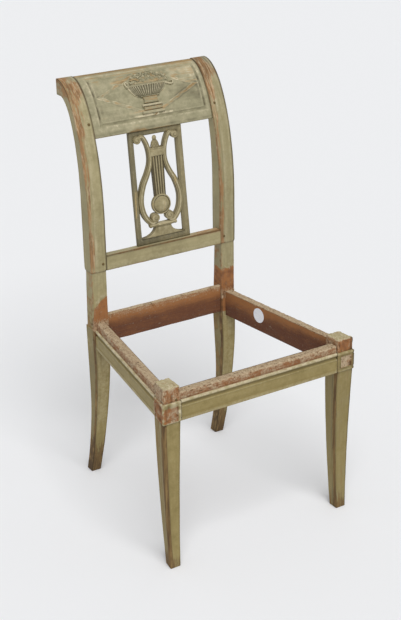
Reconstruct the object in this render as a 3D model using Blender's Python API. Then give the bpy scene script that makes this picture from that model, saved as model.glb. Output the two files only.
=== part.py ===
"""Bare frame of a neoclassical lyre-back side chair, jointed with pegged mortises and tenons.

The frame is modelled with its front at y = 0, and an empty carries it back by half the depth,
so the finished chair stands with its origin on the floor, under the middle of its box.
"""
import math

import bmesh
import bpy
from mathutils import Matrix, Vector

# Overall sizes, in metres: x is the width, y runs from front to back, z is up
FRONT_WIDTH = 0.460
BACK_WIDTH = 0.360
OVERALL_DEPTH = 0.498
OVERALL_HEIGHT = 0.904
SEAT_DEPTH = 0.378

# Front legs
BLOCK_WIDTH = 0.042
BLOCK_DEPTH = 0.046
BLOCK_TOP = 0.409
LEG_SHOULDER = 0.003
LEG_EASE = 0.0006
LEG_SWEEP = 0.004
LEG_TAPER = 1.25
LEG_BELLY = 1.9
FOOT_WIDTH = 0.024
FOOT_DEPTH = 0.025
FOOT_SET_BACK = 0.0025
STUMP_SET_BACK = 0.004
STUMP_INNER_EASE = 0.0008
BLOCK_PANEL = 0.025
BLOCK_PANEL_DEPTH = 0.0015

# Seat rails, with a bead and a cove along the top of the shown face and a tacking strip above it
RAIL_BOTTOM = 0.333
RAIL_SHOWN_HEIGHT = 0.0445
RAIL_STRIP_HEIGHT = 0.0145
RAIL_THICKNESS = 0.0245
RAIL_REVEAL = 0.0015
RAIL_STRIP_SET_BACK = 0.005
BEAD_HEIGHT = 0.008
COVE_HEIGHT = 0.006
COVE_DEPTH = 0.003
REAR_RAIL_BOTTOM = 0.3415
REAR_RAIL_HEIGHT = 0.065
REAR_RAIL_THICKNESS = 0.018
REAR_RAIL_SET_BACK = 0.006
REAR_RAIL_CHAMFER = 0.010

# Rear posts: sabre leg, set-back seat zone, stile and rolled-back top
POST_WIDTH = 0.0375
STILE_DEPTH = 0.034
POST_LEG_DEPTH = 0.0405
SHOULDER_HEIGHT = 0.509
ZONE_OUTER_SET_BACK = 0.0015
ZONE_INNER_SET_BACK = 0.002
ZONE_FRONT_SET_BACK = 0.0015
ZONE_BACK_SET_BACK = 0.003
ROLL_RISE = 0.284
ROLL_BACK_LAG = 0.040
ROLL_END_HEIGHT = 0.034
ROLL_NOSE = 0.016
ROLL_FLAT = 0.003
REAR_FOOT_SIZE = 0.023
REAR_FOOT_OUTER_INSET = 0.001
SABRE_FRONT_START = 0.290
SABRE_FRONT_CURVE = 1.6
SABRE_BACK_START = 0.220
SABRE_BACK_CURVE = 1.8
SABRE_SWEEP = 0.0545
SABRE_WAIST = 0.003

# Back: crest rail, cross rail, splat frame and lyre
CREST_HEIGHT = 0.1135
CREST_SET_BACK = 0.005
CREST_DROP = 0.001
CREST_THICKNESS = 0.018
CREST_END_INSET = 0.001
CROSS_RAIL_HEIGHT = 0.0335
CROSS_RAIL_THICKNESS = 0.020
SPLAT_WIDTH = 0.1265
SPLAT_THICKNESS = 0.008
SPLAT_SET_BACK = 0.008
SPLAT_STRIP = 0.012
SPLAT_LOW_BAR = 0.016
SPLAT_TOP_BAR = 0.0125
TONGUE_LENGTH = 0.008
TONGUE_THICKNESS = 0.005
TONGUE_SHOULDER = 0.006

# Lyre, drawn for a height between the splat's bars, and stretched or squeezed to the real one
LYRE_HEIGHT = 0.2195
LYRE_OFFSET = -0.001
LYRE_PROUD = 0.004
LYRE_THICKNESS = 0.0085
LYRE_SIDE_LAP = 0.0015
LYRE_FOOT_LAP = 0.004
LYRE_FOOT_WIDTH = 0.098
LYRE_FOOT_HEIGHT = 0.024
LYRE_NECK_WIDTH = 0.040
LYRE_CAP_WIDTH = 0.062
LYRE_CAP_HEIGHT = 0.0095
LYRE_VOLUTE_RADIUS = 0.010
LYRE_VOLUTE_SINK = 0.003
LYRE_VOLUTE_SPREAD = 0.017
LYRE_DISC_RADIUS = 0.0225
LYRE_DISC_GAP = 0.005
LYRE_PANEL_TOP_WIDTH = 0.030
LYRE_PANEL_LOW_WIDTH = 0.025
LYRE_PANEL_SET_BACK = 0.0015
LYRE_YOKE_HEIGHT = 0.017
LYRE_YOKE_DROP = 0.0295
LYRE_SCROLL_RADIUS = 0.0085
LYRE_SCROLL_DROP = 0.0065
LYRE_ARM_WIDTH = 0.008
LYRE_WAIST = 0.0177
LYRE_CROOK_WIDTH = 0.012
LYRE_CROOK_RISE = 0.0055
LYRE_NECK_RISE = 0.009
FINIAL_WIDTH = 0.0195
FINIAL_HEIGHT = 0.0215
FINIAL_BALL = 0.005
FINIAL_OFFSET = -0.003
MEMBER_STEP = 0.0002
MEMBER_OVERLAP = 0.002

# Joints
TENON_LENGTH = 0.022
TENON_THICKNESS = 0.008
SEAT_TENON_HEIGHT = 0.019
SEAT_TENON_MARGIN = 0.009
SEAT_TENON_STAGGER = 0.003
BACK_TENON_SHOULDER = 0.006
CREST_TENON_HEIGHT = 0.040
MORTISE_END_GAP = 0.001
PEG_RADIUS = 0.003
PEG_LENGTH = 0.028
CREST_PEG_LENGTH = 0.020
PEG_FROM_SHOULDER = 0.009
PEG_SIDES = 12
CLEARANCE = 0.0003

# Paper label on the inside of the right seat rail
LABEL_RADIUS = 0.017
LABEL_THICKNESS = 0.0004
LABEL_FROM_FRONT = 0.268
LABEL_HEIGHT = 0.370

# Reach of a cutter past the wood that it cuts, and welding distance of a mesh
OVERCUT = 0.010
WELD = 0.00001

# Steps along a leg, round a roll, between the points of the lyre's arm, and round its circles
LEG_STEPS = 8
ROLL_STEPS = 14
ARM_STEPS = 4
ROUND_SIDES = 24
SMOOTH_ANGLE = math.radians(30)

# Worked-out levels and places
MOULDING_TOP = RAIL_BOTTOM + RAIL_SHOWN_HEIGHT
RAIL_TOP = MOULDING_TOP + RAIL_STRIP_HEIGHT
HALF_FRONT = FRONT_WIDTH / 2
HALF_BACK = BACK_WIDTH / 2
POST_INNER = HALF_BACK - POST_WIDTH
SEAT_POST_INNER = POST_INNER + ZONE_INNER_SET_BACK
BLOCK_INNER = HALF_FRONT - BLOCK_WIDTH
STILE_BACK = SEAT_DEPTH + STILE_DEPTH
SIDE_SLOPE = (HALF_FRONT - HALF_BACK) / SEAT_DEPTH
SIDE_ANGLE = math.atan(SIDE_SLOPE)
RAIL_CENTRE = RAIL_REVEAL + (RAIL_STRIP_SET_BACK + RAIL_THICKNESS) / 2
LOW_TENON = RAIL_BOTTOM + SEAT_TENON_MARGIN
HIGH_TENON = LOW_TENON + SEAT_TENON_HEIGHT + SEAT_TENON_STAGGER
REAR_RAIL_FRONT = SEAT_DEPTH + REAR_RAIL_SET_BACK
REAR_RAIL_TOP = REAR_RAIL_BOTTOM + REAR_RAIL_HEIGHT
CROSS_BOTTOM = SHOULDER_HEIGHT
CROSS_TOP = CROSS_BOTTOM + CROSS_RAIL_HEIGHT
ROLL_CENTRE_Y = OVERALL_DEPTH - ROLL_FLAT
ROLL_START = OVERALL_HEIGHT - ROLL_RISE
ROLL_BACK_START = ROLL_START + ROLL_BACK_LAG
CREST_BOTTOM = OVERALL_HEIGHT - CREST_HEIGHT
SPLAT_HEIGHT = CREST_BOTTOM - CROSS_TOP

# Turns of a flat outline: depth and height run along x, and width and height given depth along y
ALONG_X = Matrix(((0, 0, 1, 0), (1, 0, 0, 0), (0, 1, 0, 0), (0, 0, 0, 1)))
FACING_Y = Matrix(((1, 0, 0, 0), (0, 0, 1, 0), (0, 1, 0, 0), (0, 0, 0, 1)))


# Scene, collections and materials

def clear_scene():
    for item in list(bpy.data.objects):
        bpy.data.objects.remove(item, do_unlink=True)


def make_collection(name):
    collection = bpy.data.collections.new(name)
    bpy.context.scene.collection.children.link(collection)
    return collection


def make_material(name, colour, roughness):
    material = bpy.data.materials.new(name)
    material.use_nodes = True
    shader = material.node_tree.nodes["Principled BSDF"]
    shader.inputs["Base Color"].default_value = (*colour, 1.0)
    shader.inputs["Roughness"].default_value = roughness
    shader.inputs["Metallic"].default_value = 0.0
    return material


clear_scene()
chair = make_collection("lyre_back_chair")
cutters = make_collection("cutters")
frame = bpy.data.objects.new("chair_frame", None)
frame.location = (0.0, -OVERALL_DEPTH / 2, 0.0)
chair.objects.link(frame)

paint = make_material("sage_paint", (0.36, 0.33, 0.18), 0.62)
bare_wood = make_material("bare_beech", (0.31, 0.14, 0.06), 0.75)
peg_wood = make_material("peg_wood", (0.13, 0.07, 0.03), 0.70)
paper = make_material("label_paper", (0.82, 0.82, 0.84), 0.85)


# Mesh tools

def finish_mesh(name, bm):
    bmesh.ops.recalc_face_normals(bm, faces=bm.faces)
    mesh = bpy.data.meshes.new(name)
    bm.to_mesh(mesh)
    bm.free()
    return mesh


def add_part(name, mesh, material):
    part = bpy.data.objects.new(name, mesh)
    mesh.materials.append(material)
    mesh.shade_smooth()
    mesh.set_sharp_from_angle(angle=SMOOTH_ANGLE)
    chair.objects.link(part)
    part.parent = frame
    return part


def add_cutter(name, mesh):
    cutter = bpy.data.objects.new(name, mesh)
    cutters.objects.link(cutter)
    cutter.parent = frame
    cutter.hide_render = True
    cutter.display_type = "WIRE"
    return cutter


def combine(part, mesh, operation):
    """Cut a mesh from a part, or join it on, with a live Boolean."""
    label = part.name + "_" + mesh.name
    modifier = part.modifiers.new(label, "BOOLEAN")
    modifier.operation = operation
    modifier.solver = "EXACT"
    modifier.object = add_cutter(label, mesh)


def box(name, low, high, place=Matrix.Identity(4)):
    """A box between two corners, set in its place by a matrix."""
    low = Vector(low)
    high = Vector(high)
    bm = bmesh.new()
    bmesh.ops.create_cube(bm, size=1.0)
    bmesh.ops.scale(bm, verts=bm.verts, vec=high - low)
    bmesh.ops.translate(bm, verts=bm.verts, vec=(low + high) / 2)
    bmesh.ops.transform(bm, verts=bm.verts, matrix=place)
    return finish_mesh(name, bm)


def rod(name, start, direction, radius, length, sides=PEG_SIDES):
    """A round rod from a start point along a direction."""
    direction = Vector(direction).normalized()
    middle = Vector(start) + direction * (length / 2)
    turn = direction.to_track_quat("Z", "Y").to_matrix().to_4x4()
    bm = bmesh.new()
    bmesh.ops.create_cone(bm, cap_ends=True, segments=sides, radius1=radius, radius2=radius,
                          depth=length, matrix=Matrix.Translation(middle) @ turn)
    return finish_mesh(name, bm)


def loft(name, sections):
    """A closed solid through four-cornered sections."""
    bm = bmesh.new()
    rings = [[bm.verts.new(corner) for corner in section] for section in sections]
    for lower, upper in zip(rings, rings[1:]):
        for corner in range(4):
            after = (corner + 1) % 4
            bm.faces.new((lower[corner], lower[after], upper[after], upper[corner]))
    bm.faces.new(rings[0])
    bm.faces.new(rings[-1])
    return finish_mesh(name, bm)


def slab(name, outline, low, high, place=Matrix.Identity(4)):
    """A flat outline filled and given thickness from low to high, then set in its place."""
    curve = bpy.data.curves.new(name, "CURVE")
    curve.dimensions = "2D"
    curve.fill_mode = "BOTH"
    curve.extrude = (high - low) / 2
    spline = curve.splines.new("POLY")
    spline.points.add(len(outline) - 1)
    for point, (across, up) in zip(spline.points, outline):
        point.co = (across, up, 0.0, 1.0)
    spline.use_cyclic_u = True
    holder = bpy.data.objects.new(name, curve)
    cutters.objects.link(holder)
    graph = bpy.context.evaluated_depsgraph_get()
    filled = bpy.data.meshes.new_from_object(holder.evaluated_get(graph))
    bm = bmesh.new()
    bm.from_mesh(filled)
    bmesh.ops.remove_doubles(bm, verts=bm.verts, dist=WELD)
    bmesh.ops.translate(bm, verts=bm.verts, vec=(0.0, 0.0, (low + high) / 2))
    bmesh.ops.transform(bm, verts=bm.verts, matrix=place)
    bpy.data.objects.remove(holder, do_unlink=True)
    bpy.data.meshes.remove(filled)
    return finish_mesh(name, bm)


def trim(mesh, point, normal):
    """Saw a mesh off square at a plane, on the side that the normal points to."""
    bm = bmesh.new()
    bm.from_mesh(mesh)
    geometry = bm.verts[:] + bm.edges[:] + bm.faces[:]
    sawn = bmesh.ops.bisect_plane(bm, geom=geometry, dist=WELD, plane_co=point, plane_no=normal,
                                  clear_outer=True)
    edges = [item for item in sawn["geom_cut"] if isinstance(item, bmesh.types.BMEdge)]
    bmesh.ops.edgeloop_fill(bm, edges=edges)
    bmesh.ops.recalc_face_normals(bm, faces=bm.faces)
    bm.to_mesh(mesh)
    bm.free()


def side_frame(side):
    """Axes of a seat side: x back along its outer face, y inwards, z up, from the front corner."""
    along = Vector((-side * math.sin(SIDE_ANGLE), math.cos(SIDE_ANGLE), 0.0))
    inward = Vector((-side * math.cos(SIDE_ANGLE), -math.sin(SIDE_ANGLE), 0.0))
    matrix = Matrix.Identity(4)
    matrix.col[0][:3] = along
    matrix.col[1][:3] = inward
    matrix.col[3][:3] = (side * HALF_FRONT, 0.0, 0.0)
    return matrix


def tenon(name, shoulder, end, centre, bottom, height, place, slack=0.0):
    """A tenon along local x, rooted in its rail, or its mortise where slack is given."""
    reach = end + math.copysign(MORTISE_END_GAP, end - shoulder) if slack else end
    root = shoulder - math.copysign(OVERCUT, end - shoulder)
    half = TENON_THICKNESS / 2 + slack
    low = (min(root, reach), centre - half, bottom - slack)
    high = (max(root, reach), centre + half, bottom + height + slack)
    return box(name, low, high, place)


def peg_joint(name, start, direction, wood, length=PEG_LENGTH):
    """A drawbore peg, and its hole through each piece of wood that it pins."""
    start = Vector(start)
    direction = Vector(direction).normalized()
    add_part(name, rod(name, start, direction, PEG_RADIUS, length), peg_wood)
    for part in wood:
        hole = rod(name + "_hole", start - direction * OVERCUT, direction, PEG_RADIUS + CLEARANCE,
                   OVERCUT + length + CLEARANCE)
        combine(part, hole, "DIFFERENCE")


# Curves of the rear posts and of the crest

def roll_point(turn, depth_axis, height_axis):
    """A point of the rolled-back top, on an ellipse round the roll's centre."""
    return (ROLL_CENTRE_Y - depth_axis * math.cos(turn), ROLL_START + height_axis * math.sin(turn))


def stile_front(turn):
    return roll_point(turn, ROLL_CENTRE_Y - SEAT_DEPTH, ROLL_RISE)


def stile_back(turn):
    reach = OVERALL_DEPTH - ROLL_NOSE - STILE_BACK
    rise = OVERALL_HEIGHT - ROLL_END_HEIGHT - ROLL_BACK_START
    return (STILE_BACK + reach * (1 - math.cos(turn)), ROLL_BACK_START + rise * math.sin(turn))


def crest_axes(depth):
    """Half-axes of the crest's section at a depth behind its front face."""
    return (ROLL_CENTRE_Y - SEAT_DEPTH - CREST_SET_BACK - depth, ROLL_RISE - CREST_DROP - depth)


def crest_turn(depth, height):
    """Angle at which the crest's section reaches a height, at a depth behind its front face."""
    return math.asin((height - ROLL_START) / crest_axes(depth)[1])


def sabre(start, curve, height):
    """Share of the full sweep that a rear leg has at a height."""
    return max(0.0, (start - height) / start) ** curve


def leg_front(height):
    return SEAT_DEPTH + SABRE_SWEEP * sabre(SABRE_FRONT_START, SABRE_FRONT_CURVE, height)


def leg_back(height):
    waist = SEAT_DEPTH + POST_LEG_DEPTH - SABRE_WAIST
    if height > SABRE_BACK_START:
        share = (height - SABRE_BACK_START) / (MOULDING_TOP - SABRE_BACK_START)
        return waist + SABRE_WAIST * share
    foot = SEAT_DEPTH + SABRE_SWEEP + REAR_FOOT_SIZE
    return waist + (foot - waist) * sabre(SABRE_BACK_START, SABRE_BACK_CURVE, height)


def stile_face(height):
    """Depth of the stile's front face at a height."""
    share = max(0.0, (height - ROLL_START) / ROLL_RISE)
    return ROLL_CENTRE_Y - (ROLL_CENTRE_Y - SEAT_DEPTH) * math.sqrt(1 - share ** 2)


def zone_back(height):
    """Back of the set-back zone, where the seat cover wrapped round the post."""
    share = (height - MOULDING_TOP) / (SHOULDER_HEIGHT - MOULDING_TOP)
    return leg_back(MOULDING_TOP) * (1 - share) + STILE_BACK * share - ZONE_BACK_SET_BACK


# Rear posts

def post_sections(side):
    def section(front, back, taper):
        outer = side * (HALF_BACK - taper * REAR_FOOT_OUTER_INSET)
        inner_inset = POST_WIDTH - REAR_FOOT_SIZE - REAR_FOOT_OUTER_INSET
        inner = side * (POST_INNER + taper * inner_inset)
        return ((inner, *front), (outer, *front), (outer, *back), (inner, *back))

    sections = []
    for step in range(LEG_STEPS + 1):
        height = MOULDING_TOP * step / LEG_STEPS
        taper = 1 - step / LEG_STEPS
        sections.append(section((leg_front(height), height), (leg_back(height), height), taper))
    sections.append(section((SEAT_DEPTH, SHOULDER_HEIGHT), (STILE_BACK, SHOULDER_HEIGHT), 0.0))
    for step in range(ROLL_STEPS + 1):
        turn = math.pi / 2 * step / ROLL_STEPS
        sections.append(section(stile_front(turn), stile_back(turn), 0.0))
    nose = (OVERALL_DEPTH, OVERALL_HEIGHT - ROLL_END_HEIGHT)
    sections.append(section((OVERALL_DEPTH, OVERALL_HEIGHT), nose, 0.0))
    return sections


def cut_seat_zone(post, side):
    """Set the post back on its four sides, below the shoulder where the seat cover wrapped it."""
    face = side * (HALF_BACK - ZONE_OUTER_SET_BACK)
    past = side * (HALF_BACK + OVERCUT)
    back = leg_back(MOULDING_TOP) + OVERCUT
    outer = box("zone_side", (min(face, past), SEAT_DEPTH - OVERCUT, MOULDING_TOP),
                (max(face, past), back, SHOULDER_HEIGHT))
    combine(post, outer, "DIFFERENCE")
    face = side * SEAT_POST_INNER
    past = side * (POST_INNER - OVERCUT)
    inner = box("zone_inner", (min(face, past), SEAT_DEPTH - OVERCUT, -OVERCUT),
                (max(face, past), OVERALL_DEPTH + OVERCUT, SHOULDER_HEIGHT))
    combine(post, inner, "DIFFERENCE")
    wide = HALF_BACK + OVERCUT
    slope = (zone_back(SHOULDER_HEIGHT) - zone_back(MOULDING_TOP)) / (SHOULDER_HEIGHT - MOULDING_TOP)
    lean = Matrix.Identity(4)
    lean[1][2] = slope
    lean[1][3] = -slope * MOULDING_TOP
    rear = box("zone_back", (-wide, zone_back(MOULDING_TOP), MOULDING_TOP),
               (wide, back + OVERCUT, SHOULDER_HEIGHT), lean)
    combine(post, rear, "DIFFERENCE")
    front = box("zone_front", (-wide, SEAT_DEPTH - OVERCUT, RAIL_TOP + CLEARANCE),
                (wide, SEAT_DEPTH + ZONE_FRONT_SET_BACK, SHOULDER_HEIGHT))
    combine(post, front, "DIFFERENCE")


posts = {}
for word, side in (("left", -1), ("right", 1)):
    name = "rear_post_" + word
    posts[side] = add_part(name, loft(name, post_sections(side)), paint)
    cut_seat_zone(posts[side], side)


# Front legs

def leg_section(side, height, front, back, outer, inner):
    """Corners of a leg's section, inset from the four faces of its block."""
    near = front
    far = BLOCK_DEPTH - back
    corners = []
    for y, x in ((near, BLOCK_INNER + inner), (near, HALF_FRONT - near * SIDE_SLOPE - outer),
                 (far, HALF_FRONT - far * SIDE_SLOPE - outer), (far, BLOCK_INNER + inner)):
        corners.append((side * x, y, height))
    return corners


def front_leg_sections(side):
    sections = []
    spare_width = (BLOCK_WIDTH - FOOT_WIDTH) / 2 - LEG_EASE
    spare_depth = BLOCK_DEPTH - FOOT_DEPTH - FOOT_SET_BACK - LEG_EASE
    for step in range(LEG_STEPS + 1):
        share = step / LEG_STEPS
        front = LEG_SHOULDER * share + FOOT_SET_BACK * (1 - share) + 4 * LEG_SWEEP * share * (1 - share)
        back = LEG_EASE + spare_depth * (1 - share) ** LEG_BELLY
        aside = LEG_EASE + spare_width * (1 - share) ** LEG_TAPER
        sections.append(leg_section(side, RAIL_BOTTOM * share, front, back, aside, aside))
    sections.append(leg_section(side, RAIL_BOTTOM, 0.0, 0.0, 0.0, 0.0))
    sections.append(leg_section(side, MOULDING_TOP, 0.0, 0.0, 0.0, 0.0))
    stump = (STUMP_SET_BACK, STUMP_INNER_EASE, STUMP_SET_BACK, STUMP_INNER_EASE)
    sections.append(leg_section(side, MOULDING_TOP, *stump))
    sections.append(leg_section(side, BLOCK_TOP, *stump))
    return sections


def cut_block_panels(leg, side):
    """Sunk squares on the two shown faces of the block."""
    middle = (RAIL_BOTTOM + MOULDING_TOP) / 2
    half = BLOCK_PANEL / 2
    centre = side * (BLOCK_INNER + BLOCK_WIDTH / 2)
    front = box("front_panel", (centre - half, -OVERCUT, middle - half),
                (centre + half, BLOCK_PANEL_DEPTH, middle + half))
    combine(leg, front, "DIFFERENCE")
    along = BLOCK_DEPTH / 2 / math.cos(SIDE_ANGLE)
    outer = box("side_panel", (along - half, -OVERCUT, middle - half),
                (along + half, BLOCK_PANEL_DEPTH, middle + half), side_frame(side))
    combine(leg, outer, "DIFFERENCE")


legs = {}
for word, side in (("left", -1), ("right", 1)):
    name = "front_leg_" + word
    legs[side] = add_part(name, loft(name, front_leg_sections(side)), paint)
    cut_block_panels(legs[side], side)


# Seat rails

def rail_outline():
    """Section of a front or side rail: depth from the outer face, and height."""
    face = RAIL_REVEAL
    inner = RAIL_REVEAL + RAIL_THICKNESS
    strip = RAIL_REVEAL + RAIL_STRIP_SET_BACK
    bead = MOULDING_TOP - BEAD_HEIGHT
    cove = bead - COVE_HEIGHT
    return ((face, RAIL_BOTTOM), (face, cove), (face + COVE_DEPTH, cove + COVE_DEPTH),
            (face + COVE_DEPTH, bead), (face, bead), (face, MOULDING_TOP), (strip, MOULDING_TOP),
            (strip, RAIL_TOP), (inner, RAIL_TOP), (inner, RAIL_BOTTOM))


front_shoulder = BLOCK_INNER - CLEARANCE
front_rail = add_part("front_seat_rail", slab("front_seat_rail", rail_outline(), -front_shoulder,
                                              front_shoulder, ALONG_X), paint)
for word, side in (("left", -1), ("right", 1)):
    end = side * (BLOCK_INNER + TENON_LENGTH)
    shape = (side * BLOCK_INNER, end, RAIL_CENTRE, HIGH_TENON, SEAT_TENON_HEIGHT, Matrix.Identity(4))
    combine(front_rail, tenon("tenon_" + word, *shape), "UNION")
    combine(legs[side], tenon("front_mortise", *shape, slack=CLEARANCE), "DIFFERENCE")
    peg_x = side * (BLOCK_INNER + PEG_FROM_SHOULDER)
    peg_z = MOULDING_TOP + (HIGH_TENON + SEAT_TENON_HEIGHT - MOULDING_TOP) / 2
    peg_joint("front_rail_peg_" + word, (peg_x, STUMP_SET_BACK, peg_z), (0, 1, 0),
              (legs[side], front_rail))

side_rails = {}
for word, side in (("left", -1), ("right", 1)):
    name = "side_seat_rail_" + word
    place = side_frame(side)
    length = SEAT_DEPTH / math.cos(SIDE_ANGLE)
    mesh = slab(name, rail_outline(), -OVERCUT, length + OVERCUT, place @ ALONG_X)
    trim(mesh, (0.0, BLOCK_DEPTH + CLEARANCE, 0.0), (0.0, -1.0, 0.0))
    trim(mesh, (0.0, SEAT_DEPTH - CLEARANCE, 0.0), (0.0, 1.0, 0.0))
    rail = add_part(name, mesh, paint)
    side_rails[side] = rail
    front_end = BLOCK_DEPTH / math.cos(SIDE_ANGLE)
    for label, shoulder, end, wood in (("front", front_end, front_end - TENON_LENGTH, legs[side]),
                                       ("rear", length, length + TENON_LENGTH, posts[side])):
        shape = (shoulder, end, RAIL_CENTRE, LOW_TENON, SEAT_TENON_HEIGHT, place)
        combine(rail, tenon("tenon_" + label, *shape), "UNION")
        combine(wood, tenon("side_mortise", *shape, slack=CLEARANCE), "DIFFERENCE")
    peg_z = LOW_TENON + SEAT_TENON_HEIGHT / 2
    start = place @ Vector((front_end - PEG_FROM_SHOULDER, BLOCK_PANEL_DEPTH, peg_z))
    peg_joint("side_rail_front_peg_" + word, start, place.col[1][:3], (legs[side], rail))
    start = Vector((side * HALF_BACK, SEAT_DEPTH + PEG_FROM_SHOULDER, peg_z))
    peg_joint("side_rail_rear_peg_" + word, start, (-side, 0, 0), (posts[side], rail))


def rear_rail_outline():
    """Section of the rear rail, with its back top edge planed off: depth and height."""
    back = REAR_RAIL_FRONT + REAR_RAIL_THICKNESS
    return ((REAR_RAIL_FRONT, REAR_RAIL_BOTTOM), (REAR_RAIL_FRONT, REAR_RAIL_TOP),
            (back - REAR_RAIL_CHAMFER, REAR_RAIL_TOP), (back, REAR_RAIL_TOP - REAR_RAIL_CHAMFER),
            (back, REAR_RAIL_BOTTOM))


rear_shoulder = SEAT_POST_INNER - CLEARANCE
rear_rail = add_part("rear_seat_rail", slab("rear_seat_rail", rear_rail_outline(), -rear_shoulder,
                                            rear_shoulder, ALONG_X), bare_wood)
rear_centre = REAR_RAIL_FRONT + REAR_RAIL_THICKNESS / 2
for word, side in (("left", -1), ("right", 1)):
    end = side * (SEAT_POST_INNER + TENON_LENGTH)
    shape = (side * SEAT_POST_INNER, end, rear_centre, HIGH_TENON, SEAT_TENON_HEIGHT,
             Matrix.Identity(4))
    combine(rear_rail, tenon("tenon_" + word, *shape), "UNION")
    combine(posts[side], tenon("rear_mortise", *shape, slack=CLEARANCE), "DIFFERENCE")
    peg_z = MOULDING_TOP + (HIGH_TENON + SEAT_TENON_HEIGHT - MOULDING_TOP) / 2
    start = (side * (SEAT_POST_INNER + PEG_FROM_SHOULDER), zone_back(peg_z), peg_z)
    peg_joint("rear_rail_peg_" + word, start, (0, -1, 0), (posts[side], rear_rail))


# Cross rail and crest rail

back_shoulder = POST_INNER - CLEARANCE
cross_rail = add_part("cross_rail", box(
    "cross_rail", (-back_shoulder, SEAT_DEPTH, CROSS_BOTTOM),
    (back_shoulder, SEAT_DEPTH + CROSS_RAIL_THICKNESS, CROSS_TOP)), paint)
cross_centre = SEAT_DEPTH + CROSS_RAIL_THICKNESS / 2
for word, side in (("left", -1), ("right", 1)):
    end = side * (POST_INNER + TENON_LENGTH)
    shape = (side * POST_INNER, end, cross_centre, CROSS_BOTTOM + BACK_TENON_SHOULDER,
             CROSS_RAIL_HEIGHT - 2 * BACK_TENON_SHOULDER, Matrix.Identity(4))
    combine(cross_rail, tenon("tenon_" + word, *shape), "UNION")
    combine(posts[side], tenon("cross_mortise", *shape, slack=CLEARANCE), "DIFFERENCE")
    start = (side * (POST_INNER + PEG_FROM_SHOULDER), SEAT_DEPTH, CROSS_BOTTOM + CROSS_RAIL_HEIGHT / 2)
    peg_joint("cross_rail_peg_" + word, start, (0, 1, 0), (posts[side], cross_rail))


def crest_outline():
    """Section of the crest, rolled back with the stiles: depth and height."""
    outline = []
    steps = ROLL_STEPS
    for depth, order in ((0.0, range(steps + 1)), (CREST_THICKNESS, range(steps, -1, -1))):
        first = crest_turn(depth, CREST_BOTTOM)
        for step in order:
            turn = first + (math.pi / 2 - first) * step / steps
            outline.append(roll_point(turn, *crest_axes(depth)))
        if depth == 0.0:
            end = OVERALL_DEPTH - CREST_END_INSET
            outline.append((end, outline[-1][1]))
            outline.append((end, outline[-1][1] - CREST_THICKNESS))
    return outline


def crest_joint_frame():
    """Axes at the middle of the crest's tenons: y into the thickness, z up along the curve."""
    depth = CREST_THICKNESS / 2
    turn = crest_turn(depth, CREST_BOTTOM + BACK_TENON_SHOULDER + CREST_TENON_HEIGHT / 2)
    deep, tall = crest_axes(depth)
    lean = math.atan2(deep * math.sin(turn), tall * math.cos(turn))
    point = roll_point(turn, deep, tall)
    return Matrix.Translation((0.0, *point)) @ Matrix.Rotation(-lean, 4, "X")


crest_rail = add_part("crest_rail", slab("crest_rail", crest_outline(), -back_shoulder, back_shoulder,
                                         ALONG_X), paint)
crest_place = crest_joint_frame()
for word, side in (("left", -1), ("right", 1)):
    end = side * (POST_INNER + TENON_LENGTH)
    shape = (side * POST_INNER, end, 0.0, -CREST_TENON_HEIGHT / 2, CREST_TENON_HEIGHT, crest_place)
    combine(crest_rail, tenon("tenon_" + word, *shape), "UNION")
    combine(posts[side], tenon("crest_mortise", *shape, slack=CLEARANCE), "DIFFERENCE")
    start = crest_place @ Vector((side * (POST_INNER + PEG_FROM_SHOULDER), -CREST_THICKNESS / 2, 0.0))
    inward = Vector(crest_place.col[1][:3])
    start -= inward * (start.y - stile_face(start.z)) * inward.y
    peg_joint("crest_peg_" + word, start, inward, (posts[side], crest_rail), CREST_PEG_LENGTH)


# Splat: a thin frame tongued into the crest and the cross rail, with a lyre lapped on it

crest_bottom_front = roll_point(crest_turn(0.0, CREST_BOTTOM), *crest_axes(0.0))[0]
crest_bottom_back = roll_point(crest_turn(CREST_THICKNESS, CREST_BOTTOM), *crest_axes(CREST_THICKNESS))[0]
splat_foot = SEAT_DEPTH + SPLAT_SET_BACK
splat_head = (crest_bottom_front + crest_bottom_back - SPLAT_THICKNESS) / 2
splat_place = Matrix.Translation((0.0, splat_foot, CROSS_TOP))
splat_place[1][2] = (splat_head - splat_foot) / SPLAT_HEIGHT
half_splat = SPLAT_WIDTH / 2
splat_low = CLEARANCE
splat_high = SPLAT_HEIGHT - CLEARANCE
opening_half = half_splat - SPLAT_STRIP


def tongue(name, slack):
    half = half_splat - TONGUE_SHOULDER + slack
    front = (SPLAT_THICKNESS - TONGUE_THICKNESS) / 2 - slack
    reach = TONGUE_LENGTH + slack
    return box(name, (-half, front, -reach), (half, SPLAT_THICKNESS - front, SPLAT_HEIGHT + reach),
               splat_place)


splat_frame = add_part("splat_frame", box("splat_frame", (-half_splat, 0.0, splat_low),
                                          (half_splat, SPLAT_THICKNESS, splat_high), splat_place), paint)
combine(splat_frame, tongue("tongue", 0.0), "UNION")
bar_top = SPLAT_LOW_BAR
bar_bottom = SPLAT_HEIGHT - SPLAT_TOP_BAR
combine(splat_frame, box("opening", (-opening_half, -OVERCUT, bar_top),
                         (opening_half, SPLAT_THICKNESS + OVERCUT, bar_bottom), splat_place),
        "DIFFERENCE")
combine(cross_rail, tongue("groove", CLEARANCE), "DIFFERENCE")
combine(crest_rail, tongue("groove", CLEARANCE), "DIFFERENCE")


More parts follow.
